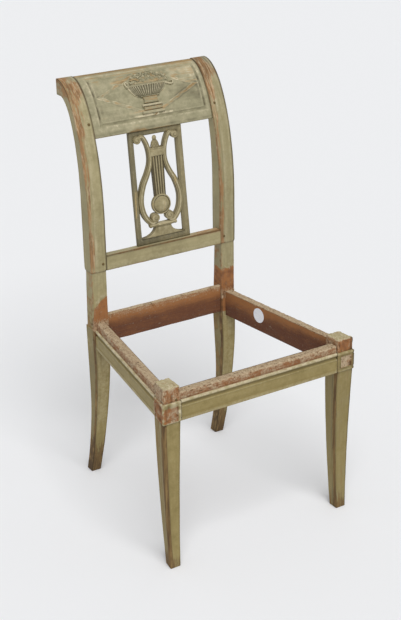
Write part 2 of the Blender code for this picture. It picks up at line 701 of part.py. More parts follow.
def smooth_line(points, steps):
    """Points of a Catmull-Rom curve through a few chosen points."""
    ends = [points[0]] + list(points) + [points[-1]]
    line = []
    for before, start, stop, after in zip(ends, ends[1:], ends[2:], ends[3:]):
        for step in range(steps):
            t = step / steps
            weights = (-t + 2 * t ** 2 - t ** 3, 2 - 5 * t ** 2 + 3 * t ** 3,
                       t + 4 * t ** 2 - 3 * t ** 3, -t ** 2 + t ** 3)
            corners = (before, start, stop, after)
            line.append(tuple(sum(w * c[axis] for w, c in zip(weights, corners)) / 2 for axis in (0, 1)))
    line.append(points[-1])
    return line


def ribbon(line, width):
    """Outline of a band of even width along a line."""
    left = []
    right = []
    for index, (x, z) in enumerate(line):
        before = line[max(index - 1, 0)]
        after = line[min(index + 1, len(line) - 1)]
        run = Vector((after[0] - before[0], after[1] - before[1])).normalized() * (width / 2)
        left.append((x - run.y, z + run.x))
        right.append((x + run.y, z - run.x))
    return left + right[::-1]


# Places of the lyre's members, as drawn above the cross rail and from the middle
lyre_high = bar_top + LYRE_HEIGHT
cap_low = bar_top + LYRE_FOOT_HEIGHT
cap_high = cap_low + LYRE_CAP_HEIGHT
volute_z = cap_high + LYRE_VOLUTE_RADIUS - LYRE_VOLUTE_SINK
disc_z = volute_z + LYRE_DISC_GAP + LYRE_DISC_RADIUS
yoke_high = lyre_high - LYRE_YOKE_DROP
yoke_low = yoke_high - LYRE_YOKE_HEIGHT
scroll_z = lyre_high - LYRE_SCROLL_DROP
scroll_x = opening_half + LYRE_SIDE_LAP - LYRE_SCROLL_RADIUS
belly_x = opening_half + LYRE_SIDE_LAP - LYRE_ARM_WIDTH / 2


def arm_line(side):
    """Middle line of an arm: out of the top scroll, in at the yoke, round the belly, into the volute."""
    rise = yoke_low - disc_z
    spread = belly_x - LYRE_WAIST
    shares = ((0.85, 0.12), (0.65, 0.41), (0.45, 0.76), (0.22, 0.98), (0.02, 1.00), (-0.18, 0.79))
    points = [(scroll_x, scroll_z), (scroll_x - LYRE_CROOK_WIDTH, scroll_z + LYRE_CROOK_RISE),
              (LYRE_WAIST + LYRE_ARM_WIDTH / 2, yoke_high + LYRE_NECK_RISE),
              (LYRE_WAIST, yoke_low + LYRE_ARM_WIDTH / 2)]
    for up, out in shares:
        points.append((LYRE_WAIST + out * spread, disc_z + up * rise))
    points.append((LYRE_VOLUTE_SPREAD + LYRE_VOLUTE_RADIUS, cap_high))
    points.append((LYRE_VOLUTE_SPREAD, volute_z - LYRE_VOLUTE_RADIUS / 2))
    return smooth_line([(side * x + LYRE_OFFSET, z) for x, z in points], ARM_STEPS)


def lyre_slab(name, outline, proud, back):
    """A flat member of the lyre, from a distance before the splat's face to one behind it."""
    stretch = (bar_bottom - bar_top) / LYRE_HEIGHT
    fitted = [(x, bar_top + (z - bar_top) * stretch) for x, z in outline]
    return slab(name, fitted, -proud, back, splat_place @ FACING_Y)


def oval(x, z, half_width, half_height):
    """Outline of a circle or an oval, about a point to one side of the lyre's middle."""
    angles = [2 * math.pi * step / ROUND_SIDES for step in range(ROUND_SIDES)]
    return [(LYRE_OFFSET + x + half_width * math.cos(angle), z + half_height * math.sin(angle))
            for angle in angles]


def four_sided(low_width, high_width, low, high):
    """Outline with a level foot and head, on the lyre's middle."""
    return [(LYRE_OFFSET - low_width / 2, low), (LYRE_OFFSET + low_width / 2, low),
            (LYRE_OFFSET + high_width / 2, high), (LYRE_OFFSET - high_width / 2, high)]


def foot_outline():
    """Waisted foot of the lyre, flared out over the splat's lower bar."""
    low = bar_top - LYRE_FOOT_LAP
    right = []
    for step in range(LEG_STEPS + 1):
        turn = math.pi / 2 * step / LEG_STEPS
        flare = (LYRE_FOOT_WIDTH - LYRE_NECK_WIDTH) / 2 * (1 - math.sin(turn))
        right.append((LYRE_NECK_WIDTH / 2 + flare, low + (cap_low - low) * (1 - math.cos(turn))))
    right.append((LYRE_NECK_WIDTH / 2, cap_low + MEMBER_OVERLAP))
    left = [(-x, z) for x, z in reversed(right)]
    return [(x + LYRE_OFFSET, z) for x, z in right + left]


# The members, each a step behind the one before it, so that no two faces lie in one plane
finial_z = yoke_high + FINIAL_HEIGHT / 2 - MEMBER_OVERLAP
ball_z = yoke_high + FINIAL_HEIGHT + FINIAL_BALL - 2 * MEMBER_OVERLAP
members = [("disc", oval(0.0, disc_z, LYRE_DISC_RADIUS, LYRE_DISC_RADIUS))]
for word, side in (("left", -1), ("right", 1)):
    volute = oval(side * LYRE_VOLUTE_SPREAD, volute_z, LYRE_VOLUTE_RADIUS, LYRE_VOLUTE_RADIUS)
    scroll = oval(side * scroll_x, scroll_z, LYRE_SCROLL_RADIUS, LYRE_SCROLL_RADIUS)
    members.append(("volute_" + word, volute))
    members.append(("scroll_" + word, scroll))
members.append(("yoke", four_sided(2 * LYRE_WAIST, 2 * LYRE_WAIST, yoke_low, yoke_high)))
members.append(("cap", four_sided(LYRE_CAP_WIDTH, LYRE_CAP_WIDTH, cap_low, cap_high)))
members.append(("finial", oval(FINIAL_OFFSET, finial_z, FINIAL_WIDTH / 2, FINIAL_HEIGHT / 2)))
members.append(("finial_ball", oval(FINIAL_OFFSET, ball_z, FINIAL_BALL, FINIAL_BALL)))
members.append(("foot", foot_outline()))
for word, side in (("left", -1), ("right", 1)):
    members.append(("arm_" + word, ribbon(arm_line(side), LYRE_ARM_WIDTH)))

back_face = LYRE_THICKNESS - LYRE_PROUD
panel_proud = LYRE_PROUD - len(members) * MEMBER_STEP - LYRE_PANEL_SET_BACK
panel = four_sided(LYRE_PANEL_LOW_WIDTH, LYRE_PANEL_TOP_WIDTH, disc_z, yoke_low + MEMBER_OVERLAP)
lyre = add_part("lyre", lyre_slab("lyre", panel, panel_proud, back_face - LYRE_PANEL_SET_BACK), paint)
for rank, (name, outline) in enumerate(members):
    step = rank * MEMBER_STEP
    combine(lyre, lyre_slab(name, outline, LYRE_PROUD - step, back_face - step), "UNION")

seat_front = -CLEARANCE
seat_back = SPLAT_THICKNESS + OVERCUT
outer = half_splat + OVERCUT
for name, low, high in (
        ("seat_left", (-outer, seat_front, -OVERCUT),
         (-opening_half + CLEARANCE, seat_back, SPLAT_HEIGHT + OVERCUT)),
        ("seat_right", (opening_half - CLEARANCE, seat_front, -OVERCUT),
         (outer, seat_back, SPLAT_HEIGHT + OVERCUT)),
        ("seat_low", (-outer, seat_front, -OVERCUT), (outer, seat_back, bar_top + CLEARANCE)),
        ("seat_high", (-outer, seat_front, bar_bottom - CLEARANCE),
         (outer, seat_back, SPLAT_HEIGHT + OVERCUT))):
    combine(lyre, box(name, low, high, splat_place), "DIFFERENCE")


# Paper label

inner_face = RAIL_REVEAL + RAIL_THICKNESS + CLEARANCE
right_side = side_frame(1)
label_start = right_side @ Vector((LABEL_FROM_FRONT / math.cos(SIDE_ANGLE), inner_face, LABEL_HEIGHT))
add_part("paper_label", rod("paper_label", label_start, right_side.col[1][:3], LABEL_RADIUS,
                            LABEL_THICKNESS, ROUND_SIDES), paper)
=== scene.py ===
import math

import bmesh
import bpy
from mathutils import Matrix, Vector, noise


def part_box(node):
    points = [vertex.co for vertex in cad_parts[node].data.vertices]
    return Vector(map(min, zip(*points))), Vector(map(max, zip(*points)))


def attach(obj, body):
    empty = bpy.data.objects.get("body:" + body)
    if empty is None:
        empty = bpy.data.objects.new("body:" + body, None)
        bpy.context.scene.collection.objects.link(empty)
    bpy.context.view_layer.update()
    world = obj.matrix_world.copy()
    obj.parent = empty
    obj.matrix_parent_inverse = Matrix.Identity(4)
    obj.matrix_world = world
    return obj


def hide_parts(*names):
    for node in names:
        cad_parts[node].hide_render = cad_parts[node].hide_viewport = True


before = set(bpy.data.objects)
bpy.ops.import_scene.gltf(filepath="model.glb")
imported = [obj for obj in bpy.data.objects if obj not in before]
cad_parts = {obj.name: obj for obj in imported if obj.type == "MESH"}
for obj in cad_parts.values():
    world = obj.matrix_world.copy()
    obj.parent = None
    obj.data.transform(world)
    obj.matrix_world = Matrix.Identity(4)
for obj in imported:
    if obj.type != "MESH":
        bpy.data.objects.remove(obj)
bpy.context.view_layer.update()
print("solids loaded:", len(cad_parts))

setBack = 0.249    # the chair is drawn with its front at y = 0, then set back by half its depth
bothSides = ((-1, "left"), (1, "right"))
# worn paint; dark soiling and painted shade; stripped wood; pale chips, dry wood and a few painted highlights; a
# darker tone that is partly painted shade on faces turned from the light
markNames = ("wear", "grime", "bare", "pale", "shade")


def clamp(value, low=0.0, high=1.0):
    return max(low, min(high, value))


def ease(value, start, stop):
    # 0 at start, 1 at stop, smooth between
    t = clamp((value - start) / (stop - start))
    return t * t * (3 - 2 * t)


def ridge(value, middle, core, reach):
    # 1 within core of the middle, falling to 0 at reach
    return 1 - ease(abs(value - middle), core, reach)


def mixed(a, b, t):
    return a + (b - a) * t


def ripple(x, y, z, size):
    # smooth noise from -1 to 1, with features of about this size
    return noise.noise(Vector((x, y, z)) / size)


def spread(low, high, step):
    count = max(1, round(abs(high - low) / step))
    return [mixed(low, high, n / count) for n in range(count + 1)]


def rgb(code):
    parts = [int(code[n:n + 2], 16) / 255 for n in (1, 3, 5)]
    return [p / 12.92 if p < 0.04045 else ((p + 0.055) / 1.055) ** 2.4 for p in parts] + [1.0]


# Camera at the photograph's place

cameraLook = {
    "place": (-1.2950, -2.1570, 1.5430),
    "azimuth": -31.153,
    "elevation": 23.860,
    "roll": -0.959,
    "lens": 75.25,
    "sensor": 36.0,
}


def addCamera(look):
    azimuth, elevation, roll = [math.radians(look[key]) for key in ("azimuth", "elevation", "roll")]
    backward = Vector((math.sin(azimuth) * math.cos(elevation), -math.cos(azimuth) * math.cos(elevation),
                       math.sin(elevation)))
    right = Vector((0, 0, 1)).cross(backward).normalized()
    up = backward.cross(right)
    turn = Matrix((right, up, backward)).transposed() @ Matrix.Rotation(roll, 3, "Z")
    lens = bpy.data.cameras.new("photoCamera")
    lens.lens = look["lens"]
    lens.sensor_width = look["sensor"]
    camera = bpy.data.objects.new("photoCamera", lens)
    camera.matrix_world = Matrix.Translation(look["place"]) @ turn.to_4x4()
    bpy.context.scene.collection.objects.link(camera)
    bpy.context.scene.camera = camera


addCamera(cameraLook)
print("camera set")


# Finishes: worn paint over wood, all from one tree of nodes

finishLook = {
    # paint and wood of the legs and rails, then of the back; wood is given dark, middle and light
    "paintDark": "#837447", "paintLight": "#9A8A5A",
    "paintHighDark": "#908662", "paintHighLight": "#ABA079",
    "woodLow": ("#56402A", "#7B613C", "#92784E"),
    "woodHigh": ("#7A5A3A", "#A37B52", "#BFA985"),
    "upper": (0.36, 0.50),    # heights between which the first give way to the second
    # paintShade darkens paint to a darker tone and to painted shade; the last colour on the next line serves soiling,
    # tack holes and painted shade
    "paintShade": "#625C46", "cream": "#C8BD9E", "grime": "#413723",
    "bareLight": "#9A683E", "bareDark": "#5E3A29",
    "paleDark": "#90755A", "paleLight": "#C0AE90",
    "chipScale": 260.0, "blotScale": 105.0, "patchScale": 34.0, "holeScale": 170.0,
    "streakAcross": 250.0, "streakAlong": 16.0,
    "fleckAcross": 520.0, "fleckAlong": 50.0,
    "brushAcross": 115.0, "brushAlong": 7.0,
    "gloss": 0.25, "roughness": (0.56, 0.82),    # on paint, and where it has gone
    "bump": 0.45, "bumpDepth": 0.0009,
}


def addNode(tree, kind, settings=None, **sockets):
    made = tree.nodes.new(kind)
    for key, value in (settings or {}).items():
        setattr(made, key, value)
    for key, value in sockets.items():
        name = int(key[1:]) if key[0] == "s" and key[1:].isdigit() else key
        if isinstance(value, bpy.types.NodeSocket):
            tree.links.new(value, made.inputs[name])
        else:
            made.inputs[name].default_value = value
    return made


def combine(tree, a, b, operation="ADD"):
    return addNode(tree, "ShaderNodeMath", {"operation": operation}, s0=a, s1=b).outputs[0]


def weigh(tree, *pairs):
    # sum of values, each times its weight, less the half that noise averages to
    total = None
    for value, weight in pairs:
        part = addNode(tree, "ShaderNodeMath", {"operation": "MULTIPLY_ADD"}, s0=value, s1=weight,
                       s2=-weight / 2).outputs[0]
        total = part if total is None else combine(tree, total, part)
    return total


def remap(tree, value, low, high, toLow=0.0, toHigh=1.0):
    made = addNode(tree, "ShaderNodeMapRange", {"interpolation_type": "SMOOTHSTEP"}, s0=value, s1=low, s2=high,
                   s3=toLow, s4=toHigh)
    return made.outputs[0]


def mixColour(tree, amount, a, b):
    made = tree.nodes.new("ShaderNodeMix")
    made.data_type = "RGBA"
    for socket, value in ((made.inputs[0], amount), (made.inputs[6], a), (made.inputs[7], b)):
        if isinstance(value, bpy.types.NodeSocket):
            tree.links.new(value, socket)
        else:
            socket.default_value = value
    return made.outputs[2]


def newFinish(name):
    finish = bpy.data.materials.new(name)
    finish.use_nodes = True
    return finish, finish.node_tree, finish.node_tree.nodes["Principled BSDF"]


def wornPaint(name, grain, look):
    # grain holds the axes, 0 to 2, that the wood's fibres follow
    finish, tree, shader = newFinish(name)
    coords = addNode(tree, "ShaderNodeTexCoord").outputs["Object"]

    def cloud(place, scale, detail, rough):
        made = addNode(tree, "ShaderNodeTexNoise", Vector=place, Scale=scale, Detail=detail, Roughness=rough)
        return made.outputs[0]

    def grainCloud(key, detail, rough):
        stretch = [look[key + ("Along" if axis in grain else "Across")] for axis in range(3)]
        place = addNode(tree, "ShaderNodeMapping", Vector=coords, Scale=stretch).outputs[0]
        return cloud(place, 1.0, detail, rough)

    def broken(value, *pairs):
        # a mark or a number, broken up by the patterns
        return combine(tree, value, weigh(tree, *pairs))

    def between(amount, first, second):
        return mixColour(tree, amount, rgb(look[first]), rgb(look[second]))

    def tinted(colour, key, amount):
        return mixColour(tree, amount, colour, rgb(look[key]))

    def product(a, b):
        return combine(tree, a, b, "MULTIPLY")

    chip = cloud(coords, look["chipScale"], 4.0, 0.65)
    blot = cloud(coords, look["blotScale"], 3.0, 0.55)
    patch = cloud(coords, look["patchScale"], 3.0, 0.5)
    streak = grainCloud("streak", 4.0, 0.6)
    brush = grainCloud("brush", 2.0, 0.5)
    fleck = grainCloud("fleck", 3.0, 0.6)
    marks = {}
    for mark in markNames:
        marks[mark] = addNode(tree, "ShaderNodeAttribute", {"attribute_name": mark}).outputs["Fac"]
    upper = remap(tree, addNode(tree, "ShaderNodeSeparateXYZ", s0=coords).outputs[2], *look["upper"])

    # paint: brushed and blotched, darkened, lightened or chipped to cream where the marks say so
    tone = broken(0.5, (patch, 1.6), (brush, 0.9), (blot, 1.2), (chip, 0.8))
    paint = mixColour(tree, upper, between(tone, "paintDark", "paintLight"),
                      between(tone, "paintHighDark", "paintHighLight"))
    # darker tone from the shade mark, partly painted shade on faces turned from the light
    darkAmount = broken(marks["shade"], (patch, 0.5), (blot, 0.4), (streak, 0.5))
    paint = tinted(paint, "paintShade", remap(tree, darkAmount, 0.0, 1.0))
    lift = broken(marks["pale"], (brush, 0.4), (blot, 0.5), (chip, 0.4))
    paint = tinted(paint, "cream", remap(tree, lift, 0.0, 1.0, 0.0, 0.80))
    chips = broken(marks["pale"], (chip, 1.5), (blot, 0.8))
    paint = tinted(paint, "cream", remap(tree, chips, 0.58, 0.84, 0.0, 0.80))

    # how far the paint has gone: the mark, broken up along the grain
    gone = broken(marks["wear"], (chip, 0.20), (blot, 0.25), (patch, 0.35), (streak, 1.1), (brush, 0.9), (fleck, 0.6))
    worn = remap(tree, gone, 0.22, 0.66)
    streaks = remap(tree, streak, 0.36, 0.62)
    crumbs = remap(tree, broken(fleck, (brush, 0.9), (streak, 0.7)), 0.52, 0.78, 0.0, 0.80)
    woods = []
    for key in ("woodLow", "woodHigh"):
        dark, mid, light = [rgb(code) for code in look[key]]
        woods.append(mixColour(tree, crumbs, mixColour(tree, streaks, dark, mid), light))
    wood = mixColour(tree, upper, *woods)
    colour = mixColour(tree, remap(tree, worn, 0.0, 1.0, 0.0, 0.95), paint, wood)

    # stripped wood: brown inside the rails, dry, torn and pale on the tacking strips, with tack holes
    stripped = remap(tree, broken(marks["bare"], (chip, 0.40), (blot, 0.45), (patch, 0.20)), 0.44, 0.54)
    deep = broken(marks["shade"], (streak, 0.8), (patch, 0.4), (blot, 0.35), (chip, 0.5), (fleck, 0.4))
    bare = between(remap(tree, deep, -0.1, 1.1), "bareLight", "bareDark")
    fibre = broken(0.5, (streak, 0.8), (blot, 0.9), (chip, 2.4), (fleck, 0.8))
    dryness = broken(marks["pale"], (patch, 0.3), (blot, 0.4), (chip, 1.0), (streak, 0.7), (fleck, 0.5))
    bare = mixColour(tree, remap(tree, dryness, 0.05, 0.85), bare, between(fibre, "paleDark", "paleLight"))
    torn = remap(tree, broken(0.5, (blot, 1.2), (chip, 1.6)), 0.34, 0.16)
    torn = product(torn, remap(tree, marks["pale"], 0.15, 0.50, 0.0, 0.70))
    cells = addNode(tree, "ShaderNodeTexVoronoi", Vector=coords, Scale=look["holeScale"])
    some = remap(tree, addNode(tree, "ShaderNodeSeparateXYZ", s0=cells.outputs["Color"]).outputs[0], 0.62, 0.70)
    holes = product(remap(tree, cells.outputs["Distance"], 0.26, 0.15), some)
    holes = product(holes, remap(tree, marks["pale"], 0.25, 0.45, 0.0, 0.75))
    bare = tinted(bare, "grime", combine(tree, holes, torn, "MAXIMUM"))
    colour = mixColour(tree, stripped, colour, bare)

    # darkening from the second mark: soiling, and painted shade in grooves, under steps and along arrises turned from
    # the light
    dirtAndShade = broken(marks["grime"], (chip, 0.5), (blot, 0.3), (streak, 0.3))
    colour = tinted(colour, "grime", remap(tree, dirtAndShade, 0.05, 1.05, 0.0, 0.88))
    tree.links.new(colour, shader.inputs["Base Color"])

    shader.inputs["Specular IOR Level"].default_value = look["gloss"]
    rough = remap(tree, combine(tree, worn, stripped, "MAXIMUM"), 0.0, 1.0, *look["roughness"])
    tree.links.new(rough, shader.inputs["Roughness"])
    relief = weigh(tree, (streak, 0.35), (chip, 0.45), (worn, -0.5))
    relief = combine(tree, relief, product(product(stripped, fibre), 1.2))
    relief = combine(tree, relief, product(product(stripped, holes), 1.2), "SUBTRACT")
    bump = addNode(tree, "ShaderNodeBump", Strength=look["bump"], Distance=look["bumpDepth"], Height=relief)
    tree.links.new(bump.outputs[0], shader.inputs["Normal"])
    return finish


# what the posts, the crest and the splat change in finishLook
postTone = {
    "streakAcross": 320.0, "streakAlong": 26.0, "fleckAlong": 80.0, "brushAcross": 160.0, "brushAlong": 14.0,
    "woodHigh": ("#7B5C3E", "#A37C54", "#C1AD8D"),
}
crestTone = {"paintHighDark": "#868165", "paintHighLight": "#A69F80", "woodHigh": ("#7C6543", "#9C8259", "#B8A27C")}
lyreTone = {"paintHighDark": "#857A59", "paintHighLight": "#A89C77", "woodHigh": ("#75603C", "#97804F", "#B5A072")}

postPaint = wornPaint("postPaint", (1, 2), dict(finishLook, **postTone))    # the posts curve from front to back
legPaint = wornPaint("legPaint", (2,), finishLook)
crossPaint = wornPaint("crossPaint", (0,), finishLook)
sidePaint = wornPaint("sidePaint", (1,), finishLook)
crestPaint = wornPaint("crestPaint", (0,), dict(finishLook, **crestTone))
lyrePaint = wornPaint("lyrePaint", (2,), dict(finishLook, **lyreTone))
print("finishes made")


# Shared ways of making a piece

def lattice(counts):
    # a box with this many lines on each axis, ready to be pulled into shape
    bm = bmesh.new()
    bmesh.ops.create_cube(bm, size=1.0)
    for axis, count in enumerate(counts):
        if count > 2:
            along = [e for e in bm.edges if abs((e.verts[0].co - e.verts[1].co)[axis]) > 0.5]
            bmesh.ops.subdivide_edges(bm, edges=along, cuts=count - 2, use_grid_fill=True)
    return bm


def setMarks(bm, place):
    # place gives each vertex its point and its five marks
    layers = [bm.verts.layers.float.new(mark) for mark in markNames]
    for v in bm.verts:
        point, values = place(v.co)
        v.co = (point[0], point[1] - setBack, point[2])
        for layer, value in zip(layers, values):
            v[layer] = clamp(value)
    return bm


def mould(counts, place):
    # place works from line numbers i, j, k
    def fromLines(co):
        return place(*[round((co[axis] + 0.5) * (counts[axis] - 1)) for axis in range(3)])

    return setMarks(lattice(counts), fromLines)


def joined(parts):
    whole = bmesh.new()
    holder = bpy.data.meshes.new("holder")
    for bm in parts:
        bmesh.ops.recalc_face_normals(bm, faces=bm.faces[:])
        bm.to_mesh(holder)
        bm.free()
        whole.from_mesh(holder)
    bpy.data.meshes.remove(holder)
    return whole


def newObject(name, bm, finish):
    mesh = bpy.data.meshes.new(name)
    bm.to_mesh(mesh)
    bm.free()
    mesh.materials.append(finish)
    made = bpy.data.objects.new(name, mesh)
    bpy.context.scene.collection.objects.link(made)
    return made


def finishPiece(name, bm, finish, slotName, *replaced, sharp=40):
    # sharp is the angle past which an edge is not shaded smooth
    bmesh.ops.recalc_face_normals(bm, faces=bm.faces[:])
    piece = newObject(name, bm, finish)
    piece.data.shade_smooth()
    piece.data.set_sharp_from_angle(angle=math.radians(sharp))
    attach(piece, "root")
    if replaced:
        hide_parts(*replaced)


memberLook = {
    "fullWidth": 0.034,    # a narrower member has its lines drawn closer in proportion
    "lines": (0.0, 0.0006, 0.0017, 0.0058, 0.0096, 0.0134),    # from an arris, besides those of the fillet
    "slope": 0.0007,    # width of the slope from a fillet down to its sunk panel
    "unevenArris": 0.45,
}


def rounded(a, b, r):
    # carries a place that is a and b from two faces round the arris where they meet
    if a < r and b < r:
        turn = r / math.hypot(r - a, r - b)
        a, b = r - (r - a) * turn, r - (r - b) * turn
    return a, b


def lineSpots(width, fillets):
    # distances from one arris of the lines that run along a square member, and their scale
    scale = min(1.0, width / memberLook["fullWidth"])
    sides = []
    for fillet in fillets:
        lines = sorted([*memberLook["lines"], fillet, fillet + memberLook["slope"]])
        sides.append([d * scale for d in lines])
    return sides[0] + [width / 2] + [width - d for d in reversed(sides[1])], scale


def sunkShare(d, width, fillets, scale):
    # 0 on the fillets, 1 on the panel between them
    inside = min(d - fillets[0] * scale, width - d - fillets[1] * scale)
    return clamp(inside / (memberLook["slope"] * scale))


def squareMember(rings, arris, marksAt):
    # a ring has corners inner front, outer front, outer back, inner back; fillets of its front (inner, outer)
    # and of its sides (front, back); and how far the front, outer and inner panels are sunk
    ready = []
    for ring in rings:
        corners = ring["corners"]
        wide = (corners[1] - corners[0]).length
        deep = (corners[3] - corners[0]).length
        across, scaleX = lineSpots(wide, ring["frontFillets"])
        inward, scaleY = lineSpots(deep, ring["sideFillets"])
        ready.append((ring, wide, deep, across, inward, scaleX, scaleY))
    last = len(ready[0][3]) - 1

    def place(i, j, k):
        ring, wide, deep, across, inward, scaleX, scaleY = ready[k]
        corners = ring["corners"]
        dx, dy = across[i], inward[j]
        ex, ey = min(dx, wide - dx), min(dy, deep - dy)
        edge = ex if j in (0, last) and i not in (0, last) else ey
        middle = corners[0].lerp(corners[2], 0.5)
        uneven = ripple(middle.x * 3 + i // 9, middle.y + j // 9, middle.z, 0.03)
        ex, ey = rounded(ex, ey, arris * (1.0 + memberLook["unevenArris"] * uneven))
        frontSink, outerSink, innerSink = ring["sinks"]
        onFront = sunkShare(dx, wide, ring["frontFillets"], scaleX)
        onSide = sunkShare(dy, deep, ring["sideFillets"], scaleY)
        if j == 0:
            ey += frontSink * onFront
        if i == last:
            ex += outerSink * onSide
        if i == 0:
            ex += innerSink * onSide
        dx2 = ex if dx < wide / 2 else wide - ex
        dy2 = ey if dy < deep / 2 else deep - ey
        front = corners[0].lerp(corners[1], dx2 / wide)
        back = corners[3].lerp(corners[2], dx2 / wide)
        spot = {"fromInner": dx / scaleX, "fromOuter": (wide - dx) / scaleX, "fromFront": dy / scaleY,
                "fromBack": (deep - dy) / scaleY, "edge": edge, "front": j == 0, "inner": i == 0,
                "outer": i == last, "onFront": onFront, "onSide": onSide}
        return marksAt(front.lerp(back, dy2 / deep), spot)

    return mould((last + 1, last + 1, len(rings)), place)


def handed(spot, side):
    # distances from the arris on the photograph's left and on its right, and whether this is the left-hand face
    if side < 0:
        return spot["fromOuter"], spot["fromInner"], spot["outer"]
    return spot["fromInner"], spot["fromOuter"], spot["inner"]


# Rear posts: sabre leg, bare zone where the seat cover was, stile and rolled top

postLook = {
    "halfBack": 0.180, "inner": 0.1425, "legInner": 0.1445, "zoneOuter": 0.1785,
    "front": 0.378, "stileBack": 0.412, "legBack": 0.4155, "zoneBack": 0.4185, "zoneSetBack": 0.003,
    "seatLow": 0.3775, "railTop": 0.3923, "shoulder": 0.509,
    # the leg's front and back run out towards the foot: how far, from what height down, and how sharply
    "frontSweep": (0.0545, 0.290, 1.6), "backSweep": (0.040, 0.220, 1.8), "upperBack": (0.003, 0.155),
    "legTaper": 0.0135, "footTrim": 0.0010, "stileTrim": 0.0008,
    # the roll's front and back: height where each begins, and its depth and height
    "rollMiddle": 0.495, "frontRoll": (0.620, 0.117, 0.284), "backRoll": (0.660, 0.070, 0.210),
    # the last two rings at the roll's end: y, top, underside and trim of the sides
    "rollEnds": ((0.4972, 0.904, 0.870, 0.0), (0.498, 0.9030, 0.8708, 0.001)),
    "handFillet": 0.0090, "farFillet": 0.0034, "legFillet": 0.0128, "sink": 0.0006, "arris": 0.0017,
    "ringStep": 0.004,
    "leftBareOuter": 0.424, "leftBareInner": 0.450, "rightBare": 0.448,
}


def postRings(look, side):
    rings = []
    hand, far = look["handFillet"], look["farFillet"]
    stileFillets = (far, hand) if side < 0 else (hand, far)
    frontRun, frontRise, frontPower = look["frontSweep"]
    backRun, backRise, backPower = look["backSweep"]
    upperRun, upperRise = look["upperBack"]
    frontLow, frontDeep, frontTall = look["frontRoll"]
    backLow, backDeep, backTall = look["backRoll"]

    def ring(front, back, inner, outer, sinks, frontFillets, sideFillets):
        spots = ((inner, front), (outer, front), (outer, back), (inner, back))
        rings.append({"corners": [Vector((side * x, *yz)) for x, yz in spots], "frontFillets": frontFillets,
                      "sideFillets": sideFillets, "sinks": sinks})

    for z in [0.0, 0.0012] + spread(0.004, look["seatLow"], look["ringStep"]):
        taper = 1 - z / look["seatLow"]
        front = look["front"] + frontRun * max(0.0, (frontRise - z) / frontRise) ** frontPower
        if z > backRise:
            back = look["legBack"] + upperRun * (z - backRise) / upperRise
        else:
            back = look["legBack"] + backRun * ((backRise - z) / backRise) ** backPower
        inner = max(look["legInner"], look["inner"] + look["legTaper"] * taper)
        outer = look["halfBack"] - 0.001 * taper
        trim = look["footTrim"] if z == 0.0 else 0.0
        sink = look["sink"] * ease(z, 0.030, 0.050) * ease(z, 0.372, 0.340)
        ring((front + trim, z), (back - trim, z), inner + trim, outer - trim, (0.5 * sink, sink, sink), (far, far),
             (look["legFillet"], far))
    zoneRings = [look["seatLow"] + 0.0001] + spread(0.381, 0.3922, 0.004) + spread(0.3924, 0.5089, look["ringStep"])
    for z in zoneRings:
        share = (z - look["seatLow"]) / (look["shoulder"] - look["seatLow"])
        front = look["front"] + (0.0015 if z > look["railTop"] else 0.0)
        back = mixed(look["zoneBack"], look["stileBack"], share) - look["zoneSetBack"]
        ring((front, z), (back, z), look["legInner"], look["zoneOuter"], (0, 0, 0), (far, far), (far, far))
    for share in spread(0.0, 1.0, 0.035):
        trim = look["stileTrim"] if share == 0.0 else 0.0
        sink = look["sink"] * ease(share, 0.02, 0.10)
        ring((look["front"] + trim, mixed(look["shoulder"], frontLow, share)),
             (look["stileBack"] - trim, mixed(look["shoulder"], backLow, share)),
             look["inner"] + trim, look["halfBack"] - trim, (sink, sink, 0), stileFillets, (far, far))
    for turn in spread(1.0, 90.0, 1.0):
        t = math.radians(turn)
        front = (look["rollMiddle"] - frontDeep * math.cos(t), frontLow + frontTall * math.sin(t))
        back = (look["stileBack"] + backDeep * (1 - math.cos(t)), backLow + backTall * math.sin(t))
        sink = look["sink"] * (1 - ease(turn, 60.0, 75.0))
        ring(front, back, look["inner"], look["halfBack"], (sink, sink, 0), stileFillets, (far, far))
    for y, high, low, trim in look["rollEnds"]:
        ring((y, high), (y, low), look["inner"] + trim, look["halfBack"] - trim, (0, 0, 0), stileFillets, (far, far))
    return rings


